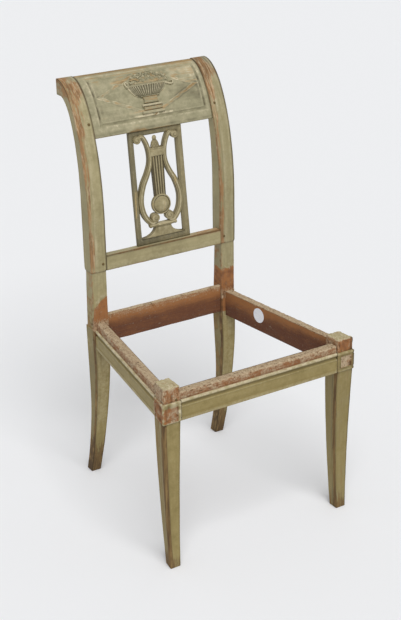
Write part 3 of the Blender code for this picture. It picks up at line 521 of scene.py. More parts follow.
def stileMarks(x, y, z, hand, far, spot, onHandSide):
    # the arris on the photograph's left is the worn one; it wears over most of the face at the roll
    roll = ease(z, 0.70, 0.87)
    end = ease(z, 0.855, 0.885)
    crown = ease(z, 0.880, 0.902)
    wander = ripple(x, y, z, 0.06)
    fine = ripple(x + 3, y, z, 0.022)
    streaky = ripple(x * 9, 0.0, y + z, 0.05)
    if spot["front"]:
        reach = (mixed(0.0120, 0.025, roll) + (0.012 if x < 0 else 0.004) * end) * (1 + 0.22 * wander)
        wear = (0.55 - 0.07 * roll + 0.22 * wander + 0.50 * streaky) * (1 - ease(hand, reach * 0.60, reach))
        wear += 0.42 * ridge(far, 0.0, 0.0004, 0.0028) * (1 + 0.6 * wander) + 0.10 * roll
        # lines on the face: painted shadow at the foot of the worn side's fillet step, a painted highlight about 6 mm
        # in from the far arris, and painted shade along the far arris, which turns from the light
        lines = ridge(hand, 0.0126, 0.0004, 0.0020) * (1 - 0.5 * roll)
        pale = 0.34 * lines + (0.12 if x < 0 else 0.32) * ridge(far, 0.0062, 0.0006, 0.0026)
        pale += 0.12 * ridge(hand, 0.017, 0.002, 0.006)
        grime = 0.26 * ridge(hand, 0.0103, 0.0003, 0.0016) + (0.30 + 0.55 * end) * ridge(hand, 0.0, 0.0006, 0.0020)
        grime += 0.80 * ridge(far, 0.0, 0.0020, 0.0052) + (0.14 if x < 0 else 0.26) * end
        grime += 0.12 * ease(z, 0.80, 0.84) * (x > 0)
        if x > 0:
            grime += 0.20 * (1 - ease(hand, 0.004, 0.010)) * (1 - roll)
        pale += 0.30 * ridge(hand, 0.0034, 0.0005, 0.0018) * clamp(0.6 + 1.2 * wander)
        pale += roll * (0.16 + 0.40 * clamp(-streaky))
        wear += 0.34 * end - 0.62 * crown * clamp(0.8 + 1.5 * fine)
        return wear, grime, 0.0, pale + 0.10 * fine + 0.08 * crown, (0.06 if x < 0 else 0.28) + 0.42 * crown
    edges = (0.30 + 0.40 * end) * ridge(spot["edge"], 0.0, 0.0004, 0.0018)
    if onHandSide:
        wear = (0.60 + 0.25 * wander) * (1 - ease(spot["fromFront"], 0.003, 0.009)) * (1 - 0.5 * end) + 0.62 * end
        # a paler band near the back, and painted shadow at the foot of the back fillet's step
        pale = 0.20 * ridge(spot["fromBack"], 0.009, 0.001, 0.004)
        grime = edges + 0.30 * ridge(spot["fromBack"], 0.0042, 0.0003, 0.002) + 0.20 * end
        if x > 0:
            grime += 0.22 * (1 - ease(spot["fromFront"], 0.004, 0.010))
        return wear, grime, 0.0, pale + 0.08 * fine + 0.46 * end, 0.24 + 0.10 * end
    wear = 0.45 * ridge(spot["edge"], 0.0, 0.0, 0.004) + 0.10 * wander + 0.26 * end
    return wear, edges + 0.15 * end, 0.0, 0.10 * fine, 0.14


def rearLegMarks(x, y, z, hand, far, spot, onHandSide):
    wander = ripple(x, y, z, 0.05)
    foot = ease(z, 0.150, 0.015)
    edges = ridge(spot["edge"], 0.0, 0.0004, 0.0020)
    lift = 0.0
    if spot["front"]:
        wear = 0.34 * ridge(hand, 0.0, 0.0, 0.004) + 0.40 * ridge(far, 0.0, 0.0, 0.003)
        # dark lines along both front arrises; along the far arris, turned from the light, they and the darker tone
        # are painted shade
        grime = 0.62 * ridge(hand, 0.0006, 0.0007, 0.0026) + 0.55 * ridge(far, 0.0006, 0.0008, 0.0026)
        shade = 0.25 * ridge(far, 0.0, 0.001, 0.004)
        lift = (0.30 if x < 0 else 0.20) * ease(z, 0.10, 0.16) * ease(far, 0.003, 0.006)
    elif onHandSide:
        band = ridge(spot["fromFront"], 0.0050, 0.0026, 0.0062)
        wear = (0.10 if x < 0 else 0.32) + (0.78 + 0.30 * wander) * band
        # painted shadow at the foot of the side fillet's step, and dark arrises
        grime = 0.40 * ridge(spot["fromFront"], 0.0126, 0.0005, 0.0024) + 0.50 * edges
        shade = 0.36
    else:
        wear = 0.10 + 0.45 * ridge(spot["edge"], 0.0, 0.0, 0.004)
        grime = 0.28 * edges
        shade = 0.12
    chipped = 0.42 * ridge(z, 0.340, 0.003, 0.012) * clamp(ripple(x, y, z, 0.008) + 0.25)
    # inside the seat the tacks have stripped the post too
    bare = ease(z, 0.3425, 0.3455) if spot["front"] or (spot["inner"] and y < 0.3835) else 0.0
    shade += 0.30 * bare * (1 + ripple(x, y, z, 0.010))
    pale = 0.06 * wander + chipped + lift * (1 - bare)
    return wear + 0.85 * foot, grime + 0.36 * foot, bare, pale, shade + 0.20 * foot


def postMarks(look, side):
    def bareLimit(x, y, z, spot):
        # height up to which the seat cover's tacks have stripped the post
        if side > 0:
            ragged = 0.0040 * ripple(x * 2, y * 2, z, 0.006) + 0.0030 * ripple(x, y, 0.0, 0.014)
            return look["rightBare"] + ragged
        if spot["outer"]:
            return mixed(look["leftBareOuter"], 0.3745, clamp(spot["fromFront"] / 0.014) ** 0.7)
        if spot["front"]:
            return mixed(look["leftBareInner"], look["leftBareOuter"], clamp(spot["fromInner"] / 0.034) ** 1.7)
        return look["leftBareInner"]

    def marks(point, spot):
        x, y, z = point
        hand, far, onHandSide = handed(spot, side)
        joint = ridge(z, look["shoulder"], 0.0004, 0.0036)
        if z > look["shoulder"] - 0.00005:
            wear, grime, bare, pale, shade = stileMarks(x, y, z, hand, far, spot, onHandSide)
            return point, (wear + 0.35 * joint, grime + 0.45 * joint, bare, pale, shade)
        if z < look["seatLow"] - 0.0001:
            wear, grime, bare, pale, shade = rearLegMarks(x, y, z, hand, far, spot, onHandSide)
            topEdge = ease(z, look["seatLow"] - 0.0045, look["seatLow"] - 0.0010)
            return point, (wear, grime, bare, pale + 0.55 * topEdge, shade)
        limit = bareLimit(x, y, z, spot)
        fine = ripple(x, y, z, 0.007)
        bare = 1.0 - ease(z, limit - 0.0016, limit + 0.0016)
        if spot["front"] and z < look["railTop"]:
            bare = 1.0
        near = ridge(z, limit + 0.004, 0.002, 0.012)
        wear = 0.34 * ridge(hand, 0.0, 0.0, 0.006) * (1 + fine) + 0.10 * ripple(x, y, z, 0.03)
        wear += 0.30 * near * clamp(fine + 0.2)
        grime = 0.55 * joint + 0.45 * ridge(z, limit, 0.0008, 0.0026) * clamp(0.7 + fine)
        pale = 0.08 + 0.10 * ripple(x, y, z, 0.02) + 0.90 * near * clamp(fine + 0.20)
        pale += 0.40 * ease(z, look["railTop"] + 0.010, look["railTop"]) * bare
        shade = (0.0 if side < 0 else 0.25) + 0.06 * bare + 0.60 * ripple(x, y, z, 0.009) * bare
        fromArris = hand if spot["front"] else spot["fromFront"]
        pale += 0.10 * bare * ridge(fromArris, 0.0, 0.001, 0.004) * (side > 0)
        shade += 0.16 * (1 - bare) * (spot["inner"] or spot["outer"])
        return point, (wear, grime, bare, pale, shade)

    return marks


for side, word in bothSides:
    post = squareMember(postRings(postLook, side), postLook["arris"], postMarks(postLook, side))
    finishPiece("rearPost" + word.capitalize(), post, postPaint, "painted_wood", "rear_post_" + word)
print("rear posts made")


# Front legs: tapered leg, square block with sunk panels, rough stump

legLook = {
    "halfFront": 0.230, "blockInner": 0.188, "blockDepth": 0.046, "slope": 0.13228,
    "legTop": 0.333, "blockTop": 0.3775,
    # set-backs of the leg under its block: front at the top, at the foot and the sweep between; then back and sides
    "shoulder": 0.003, "footFront": 0.0025, "sweep": 0.004, "ease": 0.0006, "footBack": 0.0179, "footAside": 0.0084,
    "belly": 1.9, "taper": 1.25,
    "handFillet": 0.0080, "farFillet": 0.0030, "sideFillet": 0.0128, "sink": 0.0006, "arris": 0.0016,
    "ringStep": 0.004, "footTrim": 0.001,
    # frame round the block's panels, narrower at the right block's outer edge; half the height of a panel
    "blockFrame": 0.0080, "rightFrame": 0.0062, "panelSink": 0.0017, "panelHalf": 0.0130,
    # top of the stump, how far its front and outer faces are set back, and how round its top is
    "leftStump": (0.4090, 0.0040, 0.0038, 0.0024), "rightStump": (0.4050, 0.0036, 0.0018, 0.0046),
}


def legRings(look, side):
    rings = []
    hand, far = look["handFillet"], look["farFillet"]
    legFillets = (far, hand) if side < 0 else (far, far)
    blockFillets = (look["blockFrame"], look["blockFrame"])
    frontFrame = blockFillets if side < 0 else (look["blockFrame"], look["rightFrame"])

    def ring(z, front, back, outer, inner, frontFillets, sideFillets, sinks):
        deep = look["blockDepth"] - back
        corners = []
        for y, x in ((front, look["blockInner"] + inner), (front, look["halfFront"] - front * look["slope"] - outer),
                     (deep, look["halfFront"] - deep * look["slope"] - outer), (deep, look["blockInner"] + inner)):
            corners.append(Vector((side * x, y, z)))
        rings.append({"corners": corners, "frontFillets": frontFillets, "sideFillets": sideFillets, "sinks": sinks})

    for z in [0.0, 0.0012] + spread(0.004, look["legTop"], look["ringStep"]):
        share = z / look["legTop"]
        trim = look["footTrim"] if z == 0.0 else 0.0
        front = mixed(look["footFront"], look["shoulder"], share) + 4 * look["sweep"] * share * (1 - share) + trim
        back = look["ease"] + look["footBack"] * (1 - share) ** look["belly"] + trim
        aside = look["ease"] + look["footAside"] * (1 - share) ** look["taper"] + trim
        sink = look["sink"] * ease(z, 0.028, 0.050)
        ring(z, front, back, aside, aside, legFillets, (look["sideFillet"], far), (sink, sink, sink))
    low, high = look["legTop"], look["blockTop"]
    panelLow = (low + high) / 2 - look["panelHalf"]
    panelHigh = (low + high) / 2 + look["panelHalf"]
    # heights in the block, and how far each ring is drawn in
    blockRings = [(low + 0.0001, 0.0020), (low + 0.0006, 0.0009), (low + 0.0016, 0.0002), (low + 0.0035, 0.0)]
    blockRings += [(low + 0.0060, 0.0003), (panelLow - 0.0006, 0.0008)]
    blockRings += [(z, 0.0) for z in [panelLow] + spread(panelLow + 0.0006, panelHigh - 0.0006, 0.0025) + [panelHigh]]
    blockRings += [(panelHigh + 0.0006, 0.0008), (high - 0.0060, 0.0003), (high - 0.0035, 0.0)]
    blockRings += [(high - 0.0016, 0.0002), (high - 0.0006, 0.0009), (high - 0.0001, 0.0020)]
    for z, trim in blockRings:
        sink = look["panelSink"] * (0.5 if side < 0 else 1.0) if panelLow < z < panelHigh else 0.0
        ring(z, trim, trim, trim, trim, frontFrame, blockFillets, (sink, sink, 0))
    top, front, outer, soft = look["leftStump"] if side < 0 else look["rightStump"]
    stumpRings = [(z, 0.0) for z in [high + 0.0001] + spread(high + 0.002, top - 2 * soft, 0.0025)]
    stumpRings += [(top - (1 - math.sin(t)) * soft, soft * (1 - math.cos(t))) for t in (0.3, 0.7, 1.1, 1.57)]
    for z, trim in stumpRings:
        ring(z, front + trim, 0.0008 + trim, outer + trim, 0.0008 + trim, (far, far), (far, far), (0, 0, 0))
    return rings


def frontLegMarks(x, y, z, side, hand, far, spot, onHandSide):
    wander = ripple(x, y, z, 0.05)
    fine = ripple(x + 2, y, z, 0.02)
    foot = ease(z, 0.060, 0.004)
    if spot["front"]:
        # the far arris, turned from the light, gets painted shade: a darker tone and a dark line
        shade = (0.02 if side < 0 else 0.24) + 0.30 * ridge(far, 0.0, 0.001, 0.0045)
        wear = 0.16 + 0.30 * ridge(hand, 0.0, 0.0, 0.003)
        grime = 0.50 * ridge(hand, 0.0014, 0.0006, 0.0026) + 0.60 * ridge(far, 0.0006, 0.0012, 0.0034)
        if side < 0:
            band = 1 - ease(hand, 0.0070, 0.0100)
            wear = (0.92 + 0.22 * wander + 0.14 * fine) * band
            # painted shadow at the foot of the fillet step beside the worn band
            grime = 0.26 * ridge(hand, 0.0094, 0.0005, 0.0020) + 0.36 * ridge(far, 0.0014, 0.0008, 0.0030)
            grime += 0.22 * band
    elif onHandSide:
        shade = 0.16 if side < 0 else 0.26
        reach = 0.0095 if side < 0 else 0.0125
        wear = (0.78 + 0.26 * wander + 0.18 * fine) * (1 - ease(spot["fromFront"], reach * 0.55, reach))
        wear += 0.32 if side < 0 else 0.06
        # painted shadow at the foot of the side fillet's step
        grime = 0.46 * ridge(spot["fromFront"], 0.0134, 0.0005, 0.0024) * (1.0 if side > 0 else 0.4)
        grime += 0.34 * ridge(spot["fromBack"], 0.0, 0.0004, 0.003)
    else:
        shade = 0.12
        wear = 0.50 * ridge(spot["edge"], 0.0, 0.0, 0.005)
        grime = 0.28 * ridge(spot["edge"], 0.0, 0.0, 0.002)
    chipped = 0.40 * foot * clamp(0.3 + ripple(x, y, z, 0.007))
    return wear + 0.45 * foot, grime + 0.18 * foot, 0.0, 0.06 * fine + chipped, shade + 0.15 * foot


def blockMarks(x, y, z, look, side, spot):
    frameEdge = min(spot["edge"], z - look["legTop"], look["blockTop"] - z)
    sunk = spot["onFront"] if spot["front"] else spot["onSide"] if spot["outer"] else 0.0
    fine = ripple(x, y, z, 0.006)
    blotch = ripple(x + 5, y, z, 0.010)
    if side < 0 and (spot["front"] or spot["outer"]):
        # the left block keeps pale paint on its arrises, and some at its inner edge and top;
        # between, it is mottled brown and beige
        light = 0.85 * clamp(0.72 + 1.1 * fine + 0.5 * ripple(x, y, z, 0.02))
        light *= ridge(frameEdge, 0.0008, 0.0009, 0.0042)
        kept = ease(spot["fromInner"], 0.0080, 0.0045)
        kept = max(kept, 0.62 * ease(z + 0.012 * blotch, look["blockTop"] - 0.018, look["blockTop"] - 0.009))
        kept *= spot["front"]
        pale = 0.46 + 0.62 * blotch + 0.40 * fine - 0.34 * ease(spot["fromOuter"], 0.020, 0.008)
        grime = 0.18 + 0.85 * clamp(-blotch - 0.08) + 0.30 * ridge(frameEdge, 0.0078, 0.0005, 0.0020)
        # painted shade along the block's bottom edge
        grime += 0.55 * ridge(z, look["legTop"], 0.0002, 0.0016)
        return 0.10, grime * (1 - light), (1 - light) * (1 - kept), mixed(pale, 0.62, light), 0.22
    if sunk > 0.5 and look["legTop"] + 0.0095 < z < look["blockTop"] - 0.0095:
        # rubbed panel, beige, with a dark spot at its lower outer corner
        corner = ease(spot["fromOuter"], 0.0160, 0.0105) * ease(z, look["legTop"] + 0.025, look["legTop"] + 0.017)
        return 0.0, 0.85 * corner, 1.0, 0.96 + 0.26 * blotch + 0.16 * fine - 0.7 * corner, 0.0
    light = ridge(frameEdge, 0.0022, 0.0014, 0.0036) * clamp(0.52 + 1.2 * fine + 0.5 * ripple(x, y, z, 0.02))
    wear = 0.36 + 0.40 * fine
    grime = 0.16 + 0.34 * ridge(frameEdge, 0.0074, 0.0006, 0.0022) * clamp(0.6 + 1.5 * fine)
    # painted shade along the block's bottom edge, and on the front's outer arris, turned from the light
    grime += 0.55 * ridge(z, look["legTop"], 0.0002, 0.0016)
    darkArris = 0.85 * ridge(spot["fromOuter"], 0.0, 0.0022, 0.0046) * spot["front"]
    return wear * (1 - light), max(grime * (1 - 0.8 * light), darkArris), 0.0, 0.50 * light, 0.40 * (1 - light)


def legMarks(look, side):
    top = (look["leftStump"] if side < 0 else look["rightStump"])[0]

    def marks(point, spot):
        x, y, z = point
        hand, far, onHandSide = handed(spot, side)
        if z > look["blockTop"]:
            # the stump: torn fibres at its sides, a flat pale top
            onTop = ease(z, top - 0.0030, top - 0.0006)
            fine = ripple(x * 3, y * 3, z * 0.5, 0.009)
            fibre = ripple(x * 13, y * 13, z * 0.4, 0.010) * (1.9 if side > 0 and spot["front"] else 1.0)
            shake = Vector([0.0016 * ripple(x * 2 + n, y * 2, z * 0.6, 0.006) for n in range(3)])
            shake *= ease(z, look["blockTop"], look["blockTop"] + 0.004)
            grime = 0.40 * ease(z, look["blockTop"] + 0.0040, look["blockTop"])
            grime += 0.75 * clamp(-fibre - 0.05) * (1 - onTop)
            pale = 0.37 + 0.45 * fibre + 0.78 * onTop + (0.30 if spot["outer"] and side < 0 else 0.0)
            shade = 0.12 - 0.30 * fibre + (0.16 if side > 0 and spot["front"] else 0.0) * (1 - onTop)
            if side > 0 and spot["front"]:
                # painted shade along the right stump's outer arris
                grime += 0.85 * ridge(spot["fromOuter"], 0.0, 0.0018, 0.0042) + 0.5 * clamp(fine - 0.15)
            if side > 0 and spot["inner"]:
                pale += 0.30
            if onTop > 0.9:
                pale = (0.58 if side < 0 else 0.50) + 0.20 * fine
                return point + shake, (0.26, 0.10 * clamp(fine), 0.0, pale, 0.0)
            return point + shake, (0.0, grime, 1.0, pale - (0.20 if side > 0 else 0.0) * (1 - onTop), shade)
        if z > look["legTop"] + 0.00005:
            return point, blockMarks(x, y, z, look, side, spot)
        wear, grime, bare, pale, shade = frontLegMarks(x, y, z, side, hand, far, spot, onHandSide)
        # painted shadow on the top of the leg, under the block
        grime += 0.45 * ease(z, look["legTop"] - 0.006, look["legTop"])
        return point, (wear, grime, bare, pale, shade)

    return marks


for side, word in bothSides:
    leg = squareMember(legRings(legLook, side), legLook["arris"], legMarks(legLook, side))
    finishPiece("frontLeg" + word.capitalize(), leg, legPaint, "painted_wood", "front_leg_" + word)
print("front legs made")


# Seat rails: fillets, sunk flat, groove and bead on the face, rough tacking strip above

railLook = {
    "half": 0.1877, "sideFront": 0.0463, "sideBack": 0.3777, "sideLength": 0.3343,
    "inner": 0.026, "moulding": 0.37755, "flatDepth": 0.0015,
    "step": 0.003, "endFillet": 0.0030, "flatLow": 0.3415, "flatHigh": 0.3622, "fray": 0.0011,
    # depth behind the leg's face, and height, from the bottom of the face to its top
    "face": ((0.0030, 0.3330), (0.0019, 0.3334), (0.0015, 0.3345), (0.0015, 0.3380), (0.0015, 0.3412),
             (0.0023, 0.3418), (0.0023, 0.3455), (0.0023, 0.3500), (0.0023, 0.3550), (0.0023, 0.3600),
             (0.0023, 0.3619), (0.0015, 0.3625), (0.0015, 0.3640), (0.0024, 0.3648), (0.0044, 0.3660),
             (0.0049, 0.3684), (0.0044, 0.3704), (0.0026, 0.3714), (0.0017, 0.3728), (0.0014, 0.3746),
             (0.0019, 0.3763), (0.0036, 0.3773), (0.0064, 0.3777), (0.0066, 0.3800), (0.0067, 0.3830),
             (0.0069, 0.3860), (0.0072, 0.3885), (0.0080, 0.3905), (0.0094, 0.3917), (0.0112, 0.3920)),
}


def railFaceMarks(look, x, y, z, raised, fromEnd):
    fine = ripple(x, y, z, 0.012)
    wide = ripple(x, y, z, 0.05)
    bead = ease(z, 0.3712, 0.3732)
    lowFillet = ease(z, look["flatLow"], look["flatLow"] - 0.001)
    highFillet = ridge(z, 0.3632, 0.0008, 0.0014)
    wear = 0.04 + 0.12 * wide + 0.18 * bead * (1 + fine) + 0.35 * ease(z, 0.3350, 0.3334)
    pale = 0.66 * bead * (1 + 0.5 * fine) + 0.30 * lowFillet + 0.26 * highFillet + 0.10 * raised + 0.06 * wide
    # painted shade in the groove under the bead, weaker on the side rails
    grime = (0.50 if y < 0.040 else 0.34) * ease(z, 0.3640, 0.3656) * ease(z, 0.3716, 0.3702)
    grime += 0.28 * ridge(z, look["flatLow"] + 0.0004, 0.0002, 0.0012) * (1 - raised)
    grime += 0.75 * ridge(fromEnd, 0.0, 0.0003, 0.0018)
    return wear, grime, 0.0, pale, 0.06


def railMember(look, length, pointAt):
    # pointAt turns a share of the length, a depth and a height into a place
    slope = memberLook["slope"]
    ends = [0.0, 0.0006 / length, look["endFillet"] / length, (look["endFillet"] + slope) / length]
    inside = spread(0.007 / length, 1 - 0.007 / length, look["step"] / length)
    shares = sorted(ends + inside + [1 - share for share in ends])
    face = look["face"]
    deepLines = (0.0, 0.2, 0.4, 0.6, 0.8, 0.93, 0.98, 1.0)
    topLine = len(face) - 1

    def place(i, j, k):
        fromEnd = min(shares[i], 1 - shares[i]) * length
        depth, z = face[k]
        across = deepLines[j]
        raised = 1 - clamp((fromEnd - look["endFillet"]) / slope)
        if look["flatLow"] < z < look["flatHigh"]:
            depth = mixed(depth, look["flatDepth"], raised)
        depth = mixed(depth, look["inner"], across)
        if k == topLine:
            z -= 0.0014 * ease(across, 0.90, 1.0)
        if k == 0:
            z += 0.0008 * ease(across, 0.95, 1.0)
        point = pointAt(shares[i], depth, z)
        x, y, _ = point
        if k == topLine or (j == 0 and z > look["moulding"]):
            # fibrous dry wood, frayed along its outer edge
            fine = ripple(x, y, z, 0.010)
            onTop = ease(z, 0.3885, 0.3915)
            fray = look["fray"] * ease(z, 0.379, 0.388) * ease(fromEnd, 0.0, 0.006) * (1 - ease(across, 0.2, 0.7))
            shake = Vector([fray * ripple(x + n, y, z, 0.007) for n in range(3)])
            grime = 0.42 * ease(z, 0.3815, 0.3778) + 0.35 * clamp(ripple(x, y, z * 2, 0.009) - 0.15) * (1 - onTop)
            pale = mixed(0.40 if y < 0.040 else 0.47, 0.95, onTop) + 0.28 * fine + 0.22 * ripple(x, y, 3.0, 0.05)
            return point + shake, (0.0, grime, 1.0, pale, 0.46 * (1 - onTop))
        if j == 0:
            return point, railFaceMarks(look, x, y, z, raised, fromEnd)
        # inner faces and underside: brown, darker towards the bottom
        deepest = mixed(0.366, 0.344, ease(y, 0.10, 0.30))
        shade = 0.98 * ease(z, 0.3925, deepest) + 0.14 * ripple(x, y, z, 0.02)
        pale = 0.42 * ease(z, 0.3885, 0.3918) + 0.14 * clamp(ripple(x, y, z, 0.012) - 0.2)
        grime = 0.12 * ease(z, 0.360, 0.338) + 0.30 * ridge(fromEnd, 0.0, 0.001, 0.006)
        return point, (0.0, grime, 1.0, pale, shade)

    return mould((len(shares), len(deepLines), len(face)), place)


sideAngle = math.atan(legLook["slope"])


def frontPoint(share, depth, z):
    return Vector((mixed(-railLook["half"], railLook["half"], share), depth, z))


def sidePoint(side):
    # the side rails run in towards the back, and end square to the seat's middle line
    def place(share, depth, z):
        y = mixed(railLook["sideFront"], railLook["sideBack"], share)
        run = (y + depth * math.sin(sideAngle)) / math.cos(sideAngle)
        x = legLook["halfFront"] - run * math.sin(sideAngle) - depth * math.cos(sideAngle)
        return Vector((side * x, y, z))

    return place


rail = railMember(railLook, 2 * railLook["half"], frontPoint)
finishPiece("frontSeatRail", rail, crossPaint, "painted_wood", "front_seat_rail")
for side, word in bothSides:
    rail = railMember(railLook, railLook["sideLength"], sidePoint(side))
    finishPiece("sideSeatRail" + word.capitalize(), rail, sidePaint, "painted_wood", "side_seat_rail_" + word)
print("seat rails made")


# Rear seat rail, bare, with its back top edge planed off

rearRailLook = {
    "half": 0.1442, "front": 0.384, "thick": 0.018, "low": 0.3415, "tall": 0.065, "planed": 0.010, "step": 0.004,
    "arris": 0.0018,
}


def softened(first, firstSize, second, secondSize, r):
    # rounds the corner of a rectangle's section
    a, b = rounded(min(first, firstSize - first), min(second, secondSize - second), r)
    return a if first < firstSize / 2 else firstSize - a, b if second < secondSize / 2 else secondSize - b


def rearRail(look):
    xs = [-look["half"]] + spread(-look["half"] + 0.0015, look["half"] - 0.0015, look["step"]) + [look["half"]]
    ups = (0.0, 0.0008, 0.0022, 0.008, 0.016, 0.024, 0.032, 0.040, 0.046, 0.051, 0.056, 0.0600, 0.0632, 0.0642, 0.065)
    deeps = (0.0, 0.0006, 0.0018, 0.005, 0.008, 0.0115, 0.015, 0.0170, 0.018)

    def place(i, j, k):
        x = xs[i]
        up, deep = softened(ups[k], look["tall"], deeps[j], look["thick"], look["arris"])
        past = deep + up - (look["thick"] + look["tall"] - look["planed"])
        if past > 0:
            deep -= past / 2
            up -= past / 2
        y = look["front"] + deep + 0.0004 * ripple(x, up, 2.0, 0.02)
        z = look["low"] + up + 0.0006 * ripple(x, deep, 5.0, 0.03)
        fine = ripple(x, y, z, 0.014)
        pale = 0.22 * ease(ups[k], 0.0580, 0.0632) + 0.50 * ease(ups[k], 0.0632, 0.0645)
        pale += 0.30 * ease(ups[k], 0.044, 0.058) + 0.08 * clamp(fine - 0.25)
        shade = ease(ups[k], 0.058, 0.028) * 0.84 + 0.15 * ripple(x * 0.4, y, z, 0.02)
        pale += 0.5 * clamp(ripple(x, y, z, 0.006) - 0.42)
        grime = 0.10 * ease(ups[k], 0.012, 0.0) + 0.40 * ease(ups[k], 0.0026, 0.0)
        return Vector((x, y, z)), (0.0, grime, 1.0, pale, shade)

    return mould((len(xs), len(deeps), len(ups)), place)


finishPiece("rearSeatRail", rearRail(rearRailLook), crossPaint, "bare_wood", "rear_seat_rail")


# Cross rail of the back

crossLook = {
    "half": 0.1422, "front": 0.378, "thick": 0.020, "low": 0.509, "tall": 0.0335, "arris": 0.0017, "step": 0.003,
}


def crossRail(look):
    half = look["half"]
    xs = [-half, -half + 0.0008] + spread(-half + 0.003, half - 0.003, look["step"]) + [half - 0.0008, half]

    def lines(size):
        near = [0.0, 0.0006, 0.0016, 0.0042, 0.0070]
        return near + [size * 0.5] + [size - d for d in reversed(near)]

    ups = lines(look["tall"])
    deeps = lines(look["thick"])

    def place(i, j, k):
        x = xs[i]
        r = look["arris"] * (1 + memberLook["unevenArris"] * ripple(x, ups[k], deeps[j], 0.02))
        up, deep = softened(ups[k], look["tall"], deeps[j], look["thick"], r)
        point = Vector((x, look["front"] + deep, look["low"] + up))
        wander = ripple(x, 7.0, 0.0, 0.04)
        fine = ripple(x, up, deep, 0.015)
        onTop = k == len(ups) - 1
        arris = ridge(deeps[j] if onTop else look["tall"] - ups[k], 0.0, 0.0012, 0.0056) * (onTop or j == 0)
        low = 1 - ease(up, 0.0, 0.0034)
        wear = 0.52 * arris * (1 + 0.9 * wander) + 0.52 * low * (1 + 0.9 * wander) + 0.08 * fine
        wear += (0.14 + 0.34 * ease(x, 0.02, 0.11)) * onTop * (1 + wander)
        pale = 0.24 * ridge(up, 0.0065, 0.001, 0.004) + 0.10 * fine + (0.34 if onTop else 0.0) * (1 - arris)
        grime = 0.15 * ridge(half - abs(x), 0.0, 0.0003, 0.0020) + 0.56 * low * (j < 4) + 0.72 * arris
        return point, (wear, grime, 0.0, pale, 0.06 + (0.22 if onTop else 0.18 if j > 4 else 0.0))

    return mould((len(xs), len(deeps), len(ups)), place)


finishPiece("crossRail", crossRail(crossLook), crossPaint, "painted_wood", "cross_rail")
print("cross rails made")


# Crest rail: rolled back with the stiles, its face with a sunk panel and a raised lozenge

crestLook = {
    "half": 0.1422, "low": 0.7905, "thick": 0.018, "step": 0.0013,
    # the face's curve: y and z of its middle, depth and height; then y of the face's and the back's top edge
    "rollMiddle": (0.495, 0.620), "rollDeep": 0.112, "rollTall": 0.283, "faceTop": 0.4962, "rearTop": 0.497,
    "panelX": 0.004, "panelHalf": 0.126, "panelLow": 0.0248, "panelHigh": 0.1325, "panelSink": 0.0008,
    "groove": 0.0038, "grooveDepth": 0.0020, "bead": 0.0042, "beadRise": 0.0006,
    "lozengeX": 0.003, "lozengeS": 0.081, "lozengeHalf": 0.114, "lozengeTall": 0.052,
    "stripHalf": 0.0026, "stripRise": 0.0013,
}


def crestCurve(depth, samples=600):
    # points along the section at a depth behind the face, with their distance along the face
    middleY, middleZ = crestLook["rollMiddle"]
    deep, tall = crestLook["rollDeep"] - depth, crestLook["rollTall"] - depth
    low = math.asin((crestLook["low"] - middleZ) / tall)
    points = []
    run = 0.0
    for n in range(samples + 1):
        t = mixed(low, math.pi / 2, n / samples)
        spot = Vector((middleY - deep * math.cos(t), middleZ + tall * math.sin(t)))
        if points:
            run += (spot - points[-1][1]).length
        points.append((run, spot))
    return points


crestFace = crestCurve(0.0)
crestRear = crestCurve(crestLook["thick"])
crestLength = crestFace[-1][0]


def curveAt(points, share):
    place = clamp(share) * (len(points) - 1)
    n = min(int(place), len(points) - 2)
    return points[n][1].lerp(points[n + 1][1], place - n)


def shareAt(run):
    # share of the section's samples at a distance along the face
    low, high = 0, len(crestFace) - 1
    while high - low > 1:
        middle = (low + high) // 2
        if crestFace[middle][0] < run:
            low = middle
        else:
            high = middle
    gap = crestFace[high][0] - crestFace[low][0]
    return (low + (run - crestFace[low][0]) / gap) / (len(crestFace) - 1)


def crestPoint(x, run, rise):
    # a place on the crest's face, or raised from it
    share = shareAt(clamp(run, 0.0, crestLength))
    ahead = (curveAt(crestFace, share + 0.01) - curveAt(crestFace, share - 0.01)).normalized()
    spot = curveAt(crestFace, share) + Vector((-ahead.y, ahead.x)) * rise
    return Vector((x, spot.x, spot.y))


